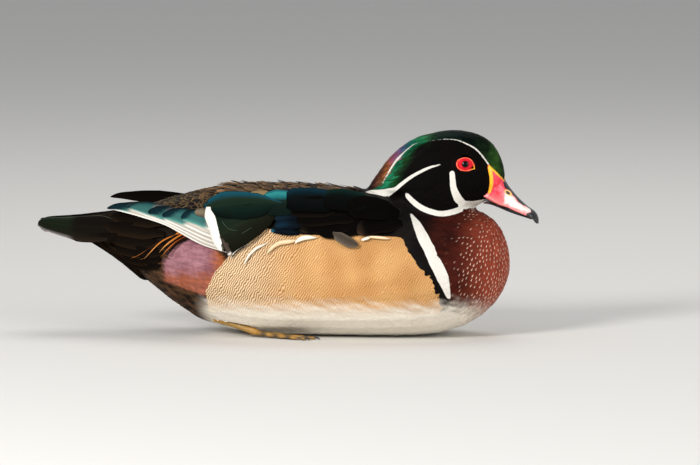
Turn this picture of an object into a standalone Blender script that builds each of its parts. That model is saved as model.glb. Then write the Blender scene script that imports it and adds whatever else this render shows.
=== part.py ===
"""Wood duck drake resting on its belly, life size, as a still model of separate solids.

The duck faces +X with its right side to -Y, and its belly and feet rest on Z = 0. The origin
is on the floor below the middle of its length. Sizes are in millimetres and are turned into
metres as each mesh is made.
"""

import math
from dataclasses import dataclass

import bmesh
import bpy
import numpy as np
from mathutils import Vector

MM = 0.001

# Driving dimensions, in millimetres
HALF_LENGTH = 172.5  # bill tip and tail tip stand this far from the origin
BREAST_FRONT = 152.4
BODY_HALF_WIDTH = 61.0
SEAT_GAP = 0.3  # clearance between two pieces that meet
RING_POINTS = 28

# The head is a pillow round this point of the middle plane
HEAD_CENTRE = (108.0, 104.0)
HEAD_HALF_WIDTH = 19.0
HEAD_PARTING = (84.0, 118.0)  # x and z of a point of the plane between head and crest
HEAD_PARTING_NORMAL = (0.94, -0.34)

# Width of the head along x, as a share of its half-width: the crest narrows to its tip
HEAD_TAPER = ((50, 0.30), (62, 0.50), (78, 0.74), (96, 0.97), (108, 1.0), (150, 0.92))

EYE_RADIUS = 6.5
EYE_PLACE = (123.8, 118.5)  # x and z of the middle of the eye's opening
EYE_PROUD = 1.7  # how far the eyeball stands out of the side of the head
EYE_HOLLOW = 0.11  # depth of the hollow round the eye, as a share of the head's half-width
EYE_HOLLOW_PLACE = (127, 119)
EYE_HOLLOW_SPREAD = (11, 9)


@dataclass
class Section:
    """One upright cross-section of the trunk, at x."""

    x: float
    top: float
    bottom: float
    half_width: float
    widest: float  # height of the widest level
    upper_power: float  # 2 is an ellipse above that level, more is squarer


TRUNK_SECTIONS = (
    Section(-141, 71.0, 65.0, 5.5, 68, 2.0),
    Section(-128, 76.5, 58.0, 15.0, 66, 2.0),
    Section(-112, 82.0, 48.5, 24.5, 63, 2.0),
    Section(-90, 89.5, 30.0, 36.0, 58, 2.1),
    Section(-60, 98.0, 9.5, 49.0, 51, 2.3),
    Section(-30, 102.8, 0.8, 57.0, 45, 2.4),
    Section(0, 102.6, -1.0, 60.3, 42, 2.4),
    Section(35, 101.0, -1.2, BODY_HALF_WIDTH, 41, 2.3),
    Section(60, 98.0, -1.2, 60.4, 42, 2.1),
    Section(85, 91.5, -0.4, 58.6, 44, 1.8),
    Section(112, 88.0, 3.2, 52.0, 47, 1.7),
)

# The breast closes in three rounded caps: of its top line, bottom line and half-width
BREAST_LEVEL = 50.0
BREAST_CAPS = {"top": (112, 88.0, 3.0), "bottom": (80, -0.7, 2.4), "side": (60, 60.4, 2.3)}

LOWER_POWER = 2.25  # squareness of the trunk below its widest level
TRUNK_STEPS = (-141, -134, -125, -112, -98, -80, -60, -40, -20, 0, 20, 40, 58, 74, 90, 106)
BREAST_TURNS_DEG = (20, 36, 50, 62, 73, 81, 87)  # steps round the breast's end

UNDERTAIL_ARCH = 0.3  # height of the tail's hollow underside, as a share of its roof

# Head and crest outline round HEAD_CENTRE: degrees up from +X, and distance
HEAD_OUTLINE = (
    (2, 41.0),
    (19, 41.8),
    (38, 42.4),
    (52, 41.0),
    (66, 38.7),
    (86, 36.2),
    (106, 35.3),
    (122, 36.3),
    (137, 38.2),
    (151, 40.7),
    (163, 43.6),
    (175, 48.0),
    (184, 53.2),
    (188, 55.6),
    (193, 43.0),
    (204, 29.5),
    (222, 25.0),
    (250, 23.5),
    (280, 23.0),
    (303, 23.4),
    (320, 25.6),
    (334, 30.5),
    (348, 34.5),
)


@dataclass
class BladeStation:
    """Where the folded flight feathers stand at x: their lower and upper edges and thickness."""

    x: float
    low: tuple
    high: tuple
    thickness: float


FLIGHT_STATIONS = (
    BladeStation(-34, (55.5, 58.0), (48.0, 85.0), 4.5),
    BladeStation(-60, (46.5, 66.5), (37.0, 90.0), 4.2),
    BladeStation(-80, (36.5, 75.0), (26.0, 92.3), 3.6),
    BladeStation(-97, (27.5, 79.0), (17.5, 92.8), 2.8),
    BladeStation(-111, (20.0, 81.0), (11.0, 91.0), 2.0),
    BladeStation(-122.5, (13.8, 83.6), (12.0, 85.4), 1.2),
)
LEFT_TIP_SHIFT = (-2.3, 5.5)  # the left wing's tips lie this much further back and higher


@dataclass
class TailStation:
    """The arched fan of tail feathers at x: the ridge, the side edges and the half-width."""

    x: float
    ridge: float
    edge: float
    half_width: float
    thickness: float


TAIL_STATIONS = (
    TailStation(-100, 86.0, 76.0, 20.0, 4.0),
    TailStation(-116, 82.6, 66.5, 25.0, 3.2),
    TailStation(-134, 80.2, 63.2, 27.0, 2.4),
    TailStation(-149, 78.6, 65.0, 25.5, 2.0),
    TailStation(-158, 77.6, 67.8, 22.0, 1.8),
    TailStation(-165, 76.7, 70.6, 17.0, 1.6),
    TailStation(-170, 75.8, 72.8, 11.0, 1.4),
    TailStation(-HALF_LENGTH, 75.2, 74.0, 5.0, 1.2),
)


@dataclass
class BillStation:
    """A cross-section of one half of the bill at x."""

    x: float
    top: float
    bottom: float
    half_width: float


UPPER_BILL = (
    BillStation(136.5, 117.5, 93.6, 9.8),
    BillStation(140.0, 116.4, 91.9, 9.7),
    BillStation(145.0, 110.6, 89.4, 9.2),
    BillStation(149.5, 104.6, 87.8, 8.6),
    BillStation(154.0, 98.6, 86.0, 8.2),
    BillStation(159.0, 93.2, 84.0, 8.1),
    BillStation(164.5, 88.3, 82.0, 7.6),
    BillStation(168.5, 85.9, 79.9, 6.4),
    BillStation(171.2, 83.6, 77.6, 4.4),
    BillStation(HALF_LENGTH, 80.6, 77.6, 1.5),
)
LOWER_BILL = (
    BillStation(133.0, 91.6, 90.2, 5.6),
    BillStation(137.0, 91.6, 90.0, 7.2),
    BillStation(141.0, 90.6, 89.1, 7.6),
    BillStation(150.0, 86.9, 85.4, 7.0),
    BillStation(158.0, 83.7, 82.6, 6.6),
    BillStation(164.5, 81.6, 80.6, 5.4),
    BillStation(167.0, 80.4, 79.6, 3.6),
)

# Neck: a column from inside the shoulders up into the head, as (height, centre x, radii)
NECK_RINGS = (
    (58, 100, 25, 26),
    (64, 101, 32, 34),
    (72, 102, 33, 33),
    (80, 101, 31, 27),
    (88, 100, 28, 23),
    (96, 98, 24, 18.5),
    (104, 96, 18, 13),
)

# Folded wing: a slab in the upper side of the trunk, by degrees down from the back's middle
WING_REAR, WING_FRONT = -52.0, 86.0
WING_INSET, WING_PROUD = 7.5, 1.4
WING_TOP_DEG = ((WING_REAR, 46), (-30, 36), (20, 30), (60, 32), (WING_FRONT, 42))
WING_LOW_DEG = ((WING_REAR, 62), (-40, 78), (-22, 80), (10, 70), (60, 64), (WING_FRONT, 52))

# The legs are folded under the belly: each shank slants out of it and the toes lie forward
SHANK_START = (-46.0, 27.0, 12.0)
SHANK_END = (-15.0, 34.5, 3.0)
SHANK_RADIUS = 2.6
TOE_LENGTHS = {"inner": 36.0, "middle": 46.0, "outer": 43.0}
TOE_TURN_DEG = {"inner": 0.0, "middle": 13.0, "outer": 25.0}  # outwards from +X
TOE_RADIUS = 1.5
WEB_THICKNESS = 1.0

COLOURS = {
    "plumage": ((0.22, 0.09, 0.05, 1), 0.7),
    "head_plumage": ((0.01, 0.05, 0.03, 1), 0.45),
    "wing_feather": ((0.02, 0.06, 0.07, 1), 0.5),
    "tail_feather": ((0.02, 0.02, 0.018, 1), 0.6),
    "bill": ((0.75, 0.12, 0.10, 1), 0.35),
    "eye": ((0.6, 0.02, 0.02, 1), 0.1),
    "leg": ((0.55, 0.36, 0.10, 1), 0.5),
}


def curve_through(pairs):
    """A smooth function through (x, value) pairs that never swings past them."""
    x, y = (np.array(column, float) for column in zip(*sorted(pairs)))
    slope = np.diff(y) / np.diff(x)
    tangent = np.concatenate([[slope[0]], (slope[1:] + slope[:-1]) / 2, [slope[-1]]])
    turning = np.concatenate([[False], slope[1:] * slope[:-1] <= 0, [False]])
    tangent[turning] = 0.0
    limit = 3 * np.minimum(np.abs(np.append(slope, slope[-1])), np.abs(np.insert(slope, 0, slope[0])))
    tangent = np.clip(tangent, -limit, limit)

    def value(at):
        i = int(np.clip(np.searchsorted(x, at) - 1, 0, len(x) - 2))
        width = x[i + 1] - x[i]
        t = min(1.0, max(0.0, (at - x[i]) / width))
        return float(
            y[i] * (1 + 2 * t) * (1 - t) ** 2
            + y[i + 1] * t * t * (3 - 2 * t)
            + width * tangent[i] * t * (1 - t) ** 2
            + width * tangent[i + 1] * t * t * (t - 1)
        )

    return value


def field_curve(stations, field):
    """curve_through for one field of a list of stations."""
    return curve_through([(s.x, getattr(s, field)) for s in stations])


def signed_power(value, power):
    """A power of the value's size, with the value's sign."""
    return math.copysign(abs(value) ** power, value)


def material(name):
    """The named material, made once."""
    found = bpy.data.materials.get(name)
    if found:
        return found
    colour, roughness = COLOURS[name]
    made = bpy.data.materials.new(name)
    made.use_nodes = True
    shader = made.node_tree.nodes["Principled BSDF"]
    shader.inputs["Base Color"].default_value = colour
    shader.inputs["Roughness"].default_value = roughness
    made.diffuse_color = colour
    return made


def add_object(name, bm, material_name):
    """Makes an object of a bmesh in millimetres, in triangles and shaded smooth."""
    bmesh.ops.triangulate(bm, faces=bm.faces)
    bmesh.ops.recalc_face_normals(bm, faces=bm.faces)
    bmesh.ops.scale(bm, vec=Vector((MM, MM, MM)), verts=bm.verts)
    mesh = bpy.data.meshes.new(name)
    bm.to_mesh(mesh)
    bm.free()
    mesh.shade_smooth()
    mesh.materials.append(material(material_name))
    made = bpy.data.objects.new(name, mesh)
    bpy.context.scene.collection.objects.link(made)
    return made


def loft(rings):
    """A closed bmesh through rings of equal counts, capped at both ends."""
    bm = bmesh.new()
    loops = []
    for ring in rings:
        verts = [bm.verts.new(p) for p in ring]
        edges = [bm.edges.new((a, b)) for a, b in zip(verts, verts[1:] + verts[:1])]
        loops.append(edges)
    for near, far in zip(loops, loops[1:]):
        bmesh.ops.bridge_loops(bm, edges=near + far)
    for end in (loops[0], loops[-1]):
        bmesh.ops.contextual_create(bm, geom=end)
    return bm


def capped(x, cap, level):
    """The value of a breast cap at x: it closes on level at the breast's front."""
    start, value, power = BREAST_CAPS[cap]
    share = max(0.0, (x - start) / (BREAST_FRONT - start))
    return level + (value - level) * math.sqrt(max(0.0, 1 - share**power))


class Trunk:
    """The outer shape of the body, from the undertail feathers to the breast."""

    def __init__(self):
        fields = ("top", "bottom", "half_width", "widest", "upper_power")
        self.curves = {f: field_curve(TRUNK_SECTIONS, f) for f in fields}

    def section(self, x):
        """(top, bottom, half-width, widest level, upper power) at x."""
        top = self.curves["top"](x)
        bottom = self.curves["bottom"](x)
        half = self.curves["half_width"](x)
        if x > BREAST_CAPS["top"][0]:
            top = capped(x, "top", BREAST_LEVEL)
        if x > BREAST_CAPS["bottom"][0]:
            bottom = capped(x, "bottom", BREAST_LEVEL)
        if x > BREAST_CAPS["side"][0]:
            half = capped(x, "side", 0.0)
        widest = self.curves["widest"](x)
        widest = min(max(widest, bottom + 0.2 * (top - bottom)), top - 0.2 * (top - bottom))
        return top, bottom, half, widest, self.curves["upper_power"](x)

    def point(self, x, degrees, out=0.0):
        """The surface point at x, that many degrees down from the back's middle, moved out."""
        top, bottom, half, widest, power = self.section(x)
        angle = math.radians(degrees)
        upper = math.cos(angle) > 0
        power = power if upper else LOWER_POWER
        height = top - widest if upper else widest - bottom
        y = half * signed_power(math.sin(angle), 2 / power)
        z = widest + height * signed_power(math.cos(angle), 2 / power)
        outward = Vector((0, y / half**2, (z - widest) / height**2)).normalized()
        return Vector((x, y, z)) + outward * out

    def solid(self):
        """The trunk with a flat under the belly at floor level."""
        start = TRUNK_STEPS[-1]
        turns = (math.radians(d) for d in BREAST_TURNS_DEG)
        round_end = [start + (BREAST_FRONT - start) * math.sin(t) for t in turns]
        angles = [360 * i / RING_POINTS for i in range(RING_POINTS)]
        bm = loft([[self.point(x, a) for a in angles] for x in [*TRUNK_STEPS, *round_end]])
        return add_object("trunk", sliced(bm, (0, 0, 0), (0, 0, 1)), "plumage")


def head_reach():
    """The distance of the head's outline from HEAD_CENTRE, as a function of degrees."""
    wrapped = [(a - 360, r) for a, r in HEAD_OUTLINE[-3:]] + list(HEAD_OUTLINE)
    wrapped += [(a + 360, r) for a, r in HEAD_OUTLINE[:3]]
    return curve_through(wrapped)


def head_side(degrees, share, outline):
    """The point of the head's left side in that direction, at that share of the way out."""
    upright = math.sin(math.radians(degrees))
    reach = outline(degrees) * share
    x = HEAD_CENTRE[0] + reach * math.cos(math.radians(degrees))
    z = HEAD_CENTRE[1] + reach * upright
    fullness = 2.6 + 1.6 * max(0.0, -upright)
    depth = math.sqrt(max(0.0, 1 - share**fullness))
    away = [(at - middle) / spread for at, middle, spread in zip((x, z), EYE_HOLLOW_PLACE, EYE_HOLLOW_SPREAD)]
    hollow = EYE_HOLLOW * math.exp(-(away[0] ** 2) - away[1] ** 2)
    half = HEAD_HALF_WIDTH * curve_through(HEAD_TAPER)(x)
    return Vector((x, half * (1 - hollow) * depth, z))


def head_pillow():
    """Head and crest as one bmesh: rings from the right cheek out to the outline and back."""
    outline = head_reach()
    steps = 7
    count = 44
    rings = []
    for i in range(1, 2 * steps):
        turn = math.pi / 2 * (i / steps - 1)
        points = [head_side(360 * j / count, math.cos(turn), outline) for j in range(count)]
        rings.append([Vector((p.x, math.copysign(p.y, turn), p.z)) for p in points])
    return loft(rings)


def sliced(bm, point, normal):
    """Keeps the part of a closed bmesh on the side that normal points to, and closes it."""
    everything = bm.verts[:] + bm.edges[:] + bm.faces[:]
    cut = bmesh.ops.bisect_plane(
        bm, geom=everything, plane_co=point, plane_no=normal, clear_inner=True
    )
    rim = [e for e in cut["geom_cut"] if isinstance(e, bmesh.types.BMEdge)]
    bmesh.ops.contextual_create(bm, geom=rim)
    return bm


def head_and_crest():
    """The head in front of a slanted parting plane and the crest behind it."""
    middle = Vector((HEAD_PARTING[0], 0.0, HEAD_PARTING[1]))
    forward = Vector((HEAD_PARTING_NORMAL[0], 0.0, HEAD_PARTING_NORMAL[1])).normalized()
    gap = forward * SEAT_GAP / 2
    head = add_object("head", sliced(head_pillow(), middle + gap, forward), "head_plumage")
    crest = add_object("crest", sliced(head_pillow(), middle - gap, -forward), "head_plumage")
    return head, crest


def ellipse_ring(centre, radius_x, radius_y, count):
    """Points of a level ellipse."""
    turns = (2 * math.pi * i / count for i in range(count))
    return [centre + Vector((radius_x * math.cos(t), radius_y * math.sin(t), 0)) for t in turns]


def neck():
    """The neck, from inside the shoulders to inside the head."""
    rings = [ellipse_ring(Vector((x, 0, z)), rx, ry, 24) for z, x, rx, ry in NECK_RINGS]
    return add_object("neck", loft(rings), "plumage")


def bill_half(name, stations):
    """The upper or lower half of the bill, lofted along X: round outside, flat on its mouth side."""
    curves = [field_curve(stations, f) for f in ("top", "bottom", "half_width")]
    count, steps = 14, 2
    upper = name == "bill_upper"
    widest = 0.2 if upper else 0.75
    round_power, flat_power = 2.2, 4.5
    xs = [stations[0].x]
    for a, b in zip(stations, stations[1:]):
        xs += [a.x + (b.x - a.x) * (i + 1) / steps for i in range(steps)]
    rings = []
    for x in xs:
        top, bottom, half = (curve(x) for curve in curves)
        level = bottom + (top - bottom) * widest
        ring = []
        for i in range(count):
            angle = 2 * math.pi * i / count
            across, up = math.sin(angle), math.cos(angle)
            round_side = up > 0 if upper else up < 0
            power = 2 / round_power if round_side else 2 / flat_power
            height = top - level if up > 0 else level - bottom
            y = half * signed_power(across, power)
            ring.append(Vector((x, y, level + height * signed_power(up, power))))
        rings.append(ring)
    return add_object(name, loft(rings), "bill")


def eye_centre():
    """The centre of the left eyeball, sunk from the head's side along its slope."""
    outline = head_reach()

    def side_at(x, z):
        dx, dz = x - HEAD_CENTRE[0], z - HEAD_CENTRE[1]
        degrees = math.degrees(math.atan2(dz, dx))
        return head_side(degrees, math.hypot(dx, dz) / outline(degrees), outline)

    x, z = EYE_PLACE
    along = side_at(x + 2, z) - side_at(x - 2, z)
    upward = side_at(x, z + 2) - side_at(x, z - 2)
    outward = upward.cross(along).normalized()
    return side_at(x, z) + outward * (EYE_PROUD - EYE_RADIUS)


def eye(name, side):
    """An eyeball, which shows through the lids as a low dome."""
    bm = bmesh.new()
    bmesh.ops.create_uvsphere(bm, u_segments=14, v_segments=9, radius=EYE_RADIUS)
    centre = eye_centre()
    bmesh.ops.translate(bm, vec=Vector((centre.x, side * centre.y, centre.z)), verts=bm.verts)
    return add_object(name, bm, "eye")


def wing(name, side, trunk):
    """A folded wing: a curved slab let into the trunk's upper side."""
    top_curve, low_curve = curve_through(WING_TOP_DEG), curve_through(WING_LOW_DEG)
    columns, across = 13, 6
    rings = []
    for i in range(columns + 1):
        x = WING_REAR + (WING_FRONT - WING_REAR) * (1 - math.cos(math.pi * i / columns)) / 2
        degrees = np.linspace(top_curve(x), low_curve(x), across)
        shares = np.sin(np.linspace(0.12, math.pi - 0.12, across))
        outer = [trunk.point(x, d, WING_PROUD * s) for d, s in zip(degrees, shares)]
        inner = [trunk.point(x, d, -WING_INSET * (0.35 + 0.65 * s)) for d, s in zip(degrees, shares)]
        ring = outer + inner[::-1]
        rings.append([Vector((p.x, side * p.y, p.z)) for p in ring])
    return add_object(name, loft(rings), "wing_feather")


def flight_feathers(name, side, tip_shift):
    """The folded flight feathers behind a wing, as one curved blade."""
    def pair_curve(edge, axis):
        return curve_through([(s.x, getattr(s, edge)[axis]) for s in FLIGHT_STATIONS])

    curves = {(e, a): pair_curve(e, a) for e in ("low", "high") for a in (0, 1)}
    thickness = field_curve(FLIGHT_STATIONS, "thickness")
    first, last = FLIGHT_STATIONS[0].x, FLIGHT_STATIONS[-1].x
    columns, across = 11, 5
    rings = []
    for i in range(columns + 1):
        share = math.sin(math.pi / 2 * i / columns)
        x = first + (last - first) * share
        low = Vector((x, curves["low", 0](x), curves["low", 1](x)))
        high = Vector((x, curves["high", 0](x), curves["high", 1](x)))
        edge = high - low
        outward = Vector((0, edge.z, -edge.y)).normalized()
        outer, inner = [], []
        for t in np.linspace(0, 1, across):
            bow = math.sin(math.pi * t)
            place = low + edge * t + outward * (1.6 * bow * min(1.0, edge.length / 20))
            half = thickness(x) / 2 * (0.35 + 0.65 * bow)
            outer.append(place + outward * half)
            inner.append(place - outward * half)
        ring = outer + inner[::-1]
        back, lift = (shift * share for shift in tip_shift)
        rings.append([Vector((p.x + back, side * p.y, p.z + lift)) for p in ring])
    return add_object(name, loft(rings), "wing_feather")


def tail():
    """The tail feathers as one arched fan like a low roof, filled from below by soft coverts."""
    fields = ("ridge", "edge", "half_width", "thickness")
    curves = [field_curve(TAIL_STATIONS, f) for f in fields]
    first, last = TAIL_STATIONS[0].x, TAIL_STATIONS[-1].x
    columns, across = 12, 11
    rings = []
    for i in range(columns + 1):
        x = first + (last - first) * math.sin(math.pi / 2 * i / columns)
        ridge, edge, half, thick = (curve(x) for curve in curves)
        upper, lower = [], []
        for t in np.linspace(-1, 1, across):
            arch = (ridge - edge) * (1 - abs(t) ** 1.7)
            skin = thick * (0.4 + 0.6 * (1 - t * t))
            upper.append(Vector((x, half * t, edge + arch)))
            lower.append(Vector((x, half * t * 0.985, edge + arch * UNDERTAIL_ARCH - skin)))
        rings.append(upper + lower[::-1])
    return add_object("tail", loft(rings), "tail_feather")


def tube_between(start, end, radius_start, radius_end, count=10, steps=5):
    """Rings of a round tapered limb with domed ends, from start to end."""
    way = end - start
    turn = way.to_track_quat("Z", "Y")
    rings = []
    for i in range(steps + 1):
        share = i / steps
        radius = radius_start + (radius_end - radius_start) * share
        radius *= math.sqrt(max(0.08, 1 - (2 * share - 1) ** 8))
        flat = ellipse_ring(Vector((0, 0, 0)), radius, radius, count)
        rings.append([turn @ p + start + way * share for p in flat])
    return rings


def shank(name, side):
    """The bare leg, which comes out of the belly feathers and slants down to the toes."""
    start = Vector((SHANK_START[0], side * SHANK_START[1], SHANK_START[2]))
    end = Vector((SHANK_END[0], side * SHANK_END[1], SHANK_END[2]))
    return add_object(name, loft(tube_between(start, end, SHANK_RADIUS * 1.15, SHANK_RADIUS)), "leg")


def foot_outline(side):
    """The half-closed webbed foot from above: toe tips with scalloped web between them."""
    knuckle = Vector((SHANK_END[0], side * SHANK_END[1], 0))
    tips = []
    for toe, length in TOE_LENGTHS.items():
        angle = math.radians(side * TOE_TURN_DEG[toe])
        tips.append(knuckle + length * Vector((math.cos(angle), math.sin(angle), 0)))
    return knuckle, tips


def foot(name, side):
    """A webbed foot flat on the floor: three toes and their web joined into one solid."""
    knuckle, tips = foot_outline(side)
    bm = bmesh.new()
    notches = [(a + b) / 2 + (knuckle - (a + b) / 2) * 0.16 for a, b in zip(tips, tips[1:])]
    rim = [knuckle, tips[0], notches[0], tips[1], notches[1], tips[2]]
    web = bm.faces.new([bm.verts.new(p) for p in rim])
    raised = bmesh.ops.extrude_face_region(bm, geom=[web])["geom"]
    lifted = [v for v in raised if isinstance(v, bmesh.types.BMVert)]
    bmesh.ops.translate(bm, vec=Vector((0, 0, WEB_THICKNESS)), verts=lifted)
    made = add_object(name, bm, "leg")
    for index, tip in enumerate(tips):
        height = Vector((0, 0, TOE_RADIUS * 0.8))
        rings = tube_between(
            knuckle + (knuckle - tip) * 0.05 + height, tip + height * 0.8, TOE_RADIUS, TOE_RADIUS * 0.75, 6
        )
        flat = [[Vector((p.x, p.y, max(0.0, p.z))) for p in ring] for ring in rings]
        join(made, add_object(f"{name}_toe_{index}", loft(flat), "leg"))
    return made


def helper(obj):
    """Marks an object as a construction aid that is not part of the duck."""
    obj.hide_render = True
    obj.display_type = "WIRE"
    return obj


def join(target, other):
    """Adds other to target with a live union."""
    union = target.modifiers.new(f"join_{other.name}", "BOOLEAN")
    union.operation = "UNION"
    union.solver = "EXACT"
    union.object = helper(other)


def grown_copy(source):
    """A hidden copy of source, pushed out by the seat gap, to cut its seat in a neighbour."""
    name = f"seat_of_{source.name}"
    found = bpy.data.objects.get(name)
    if found:
        return found
    bm = bmesh.new()
    bm.from_mesh(source.data)
    bm.normal_update()
    grown = [v.co + v.normal * SEAT_GAP * MM * min(3.0, v.calc_shell_factor()) for v in bm.verts]
    for vert, place in zip(bm.verts, grown):
        vert.co = place
    mesh = bpy.data.meshes.new(name)
    bm.to_mesh(mesh)
    bm.free()
    made = bpy.data.objects.new(name, mesh)
    bpy.context.scene.collection.objects.link(made)
    return helper(made)


def cut_seats(target, *others):
    """Cuts from target the room that each of the others takes up, with the seat gap."""
    for other in others:
        seat = target.modifiers.new(f"seat_{other.name}", "BOOLEAN")
        seat.operation = "DIFFERENCE"
        seat.solver = "EXACT"
        seat.object = grown_copy(other)


def build():
    """Makes every piece of the duck and seats each one in its neighbours."""
    for old in list(bpy.data.objects):
        bpy.data.objects.remove(old)
    trunk = Trunk()
    body = trunk.solid()
    head, crest = head_and_crest()
    whole_head = helper(add_object("whole_head", head_pillow(), "head_plumage"))
    throat = neck()
    bill_upper = bill_half("bill_upper", UPPER_BILL)
    bill_lower = bill_half("bill_lower", LOWER_BILL)
    fan = tail()
    eyes = [eye("eye_right", -1), eye("eye_left", 1)]
    wings = [wing("wing_right", -1, trunk), wing("wing_left", 1, trunk)]
    flights = [
        flight_feathers("flight_feathers_right", -1, (0.0, 0.0)),
        flight_feathers("flight_feathers_left", 1, LEFT_TIP_SHIFT),
    ]
    shanks = [shank("leg_right", -1), shank("leg_left", 1)]
    feet = [foot("foot_right", -1), foot("foot_left", 1)]

    cut_seats(head, *eyes)
    cut_seats(bill_upper, whole_head)
    cut_seats(bill_lower, whole_head)
    cut_seats(throat, whole_head)
    for blade, folded in zip(flights, wings):
        cut_seats(blade, folded)
    for folded in wings:
        cut_seats(folded, throat)
    for limb, web in zip(shanks, feet):
        cut_seats(web, limb)
    cut_seats(body, throat, whole_head, *wings, *flights, fan, *shanks)


build()
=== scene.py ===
"""Looks of a life-size wood duck drake: skin, feathers, eyes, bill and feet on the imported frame.

Shapes are worked out in millimetres in the frame's own axes (+X to the bill, +Y to the duck's
left) and turned into metres as each mesh is made. Markings are drawn on a side sheet: the view
from the photo's angle, in millimetres on the duck's middle plane, alike on both sides.
"""

from __future__ import annotations

import logging
import math
from dataclasses import dataclass, field, replace
from enum import Enum
from typing import Callable, Sequence

import bmesh
import bpy
import numpy as np
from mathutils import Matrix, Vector
from mathutils.bvhtree import BVHTree
from mathutils.kdtree import KDTree

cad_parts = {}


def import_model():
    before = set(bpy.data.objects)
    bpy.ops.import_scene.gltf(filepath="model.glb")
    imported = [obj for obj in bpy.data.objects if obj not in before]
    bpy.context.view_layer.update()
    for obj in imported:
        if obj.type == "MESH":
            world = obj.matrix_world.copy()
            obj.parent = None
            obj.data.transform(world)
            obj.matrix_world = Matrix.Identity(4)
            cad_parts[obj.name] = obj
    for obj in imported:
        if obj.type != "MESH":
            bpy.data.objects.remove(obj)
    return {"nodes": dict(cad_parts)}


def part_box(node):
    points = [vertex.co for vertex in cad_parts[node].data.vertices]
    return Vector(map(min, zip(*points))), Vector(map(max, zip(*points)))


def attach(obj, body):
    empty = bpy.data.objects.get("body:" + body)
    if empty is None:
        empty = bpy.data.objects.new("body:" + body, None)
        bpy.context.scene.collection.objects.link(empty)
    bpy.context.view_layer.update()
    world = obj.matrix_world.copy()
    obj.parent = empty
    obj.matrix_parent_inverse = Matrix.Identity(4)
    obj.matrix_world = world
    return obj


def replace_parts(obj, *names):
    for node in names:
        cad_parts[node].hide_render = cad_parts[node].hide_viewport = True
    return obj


LOG = logging.getLogger("wood_duck")
MM = 0.001
BODY = "root"
SEED = 20

Array = np.ndarray
Pair = tuple[float, float]

FLESH_NODES = ("trunk", "neck", "head", "crest", "wing_right", "wing_left")
FRAME_NODES: dict[str, bpy.types.Object] = {}  # the frame's solids by node, filled by main


class Side(Enum):
    """A side of the duck, with the sign of its Y."""

    RIGHT = -1
    LEFT = 1

    @property
    def label(self) -> str:
        """The side's name in a node's or piece's name."""
        return self.name.lower()


class Tract(Enum):
    """A stretch of the coat whose feathers are alike in size and lie."""

    FACE = 0
    HEAD = 1
    CREST = 2
    NECK = 3
    BREAST = 4
    FLANK = 5
    BELLY = 6
    MANTLE = 7
    SCAPULAR = 8
    RUMP = 9
    VENT = 10
    UNDERTAIL = 11


def srgb(code: str) -> Array:
    """Turns a colour code such as "c9965a" into linear red, green and blue."""
    value = np.array([int(code[i : i + 2], 16) for i in (0, 2, 4)]) / 255
    return np.where(value <= 0.04045, value / 12.92, ((value + 0.055) / 1.055) ** 2.4)


def ramp(low: float, high: float, at: Array) -> Array:
    """A smooth step from 0 at low to 1 at high; low may be the larger."""
    share = np.clip((at - low) / (high - low), 0, 1)
    return share * share * (3 - 2 * share)


def blend(first: Array | str, second: Array | str, share: Array) -> Array:
    """Mixes rows of colours or vectors, or colour codes, by a share per row."""
    share = np.asarray(share)[..., None]
    first, second = (srgb(end) if isinstance(end, str) else end for end in (first, second))
    return first * (1 - share) + second * share


def unit(rows: Array) -> Array:
    """Rows of vectors at length 1."""
    return rows / np.maximum(np.linalg.norm(rows, axis=-1, keepdims=True), 1e-9)


def smooth_path(points: Sequence[Pair], spans: int = 5) -> Array:
    """A curve through the points, as spans straight pieces between each two."""
    fixed = np.array(points, float)
    padded = np.vstack([2 * fixed[0] - fixed[1], fixed, 2 * fixed[-1] - fixed[-2]])
    out = []
    for before, start, end, after in zip(padded, padded[1:], padded[2:], padded[3:]):
        for t in np.arange(spans) / spans:
            out.append(
                0.5
                * (
                    2 * start
                    + (end - before) * t
                    + (2 * before - 5 * start + 4 * end - after) * t**2
                    + (3 * start - before - 3 * end + after) * t**3
                )
            )
    return np.array(out + [fixed[-1]])


def shades_at(stops: Sequence[float], codes: Sequence[str], at: Array) -> Array:
    """Colours read off between colour codes.

    Args:
        stops: Rising places of the codes.
        codes: The colour codes.
        at: The places to read.

    Returns:
        Linear red, green and blue, in a new last axis.
    """
    table = np.array([srgb(code) for code in codes])
    return np.stack([np.interp(at, stops, table[:, i]) for i in range(3)], axis=-1)


def ripple(points: Array, size: float, seed: int) -> Array:
    """Smooth random variation from about -1 to 1 over points.

    Args:
        points: Places in millimetres, one per row.
        size: Rough size of a patch in millimetres.
        seed: Chooses the pattern.

    Returns:
        One value per point.
    """
    rng = np.random.default_rng(seed)
    total = np.zeros(len(points))
    for _ in range(7):
        way = rng.normal(size=3) * 2.2 / size
        total += np.sin(points @ way + rng.uniform(0, 2 * math.pi))
    return total / 2.6


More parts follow.
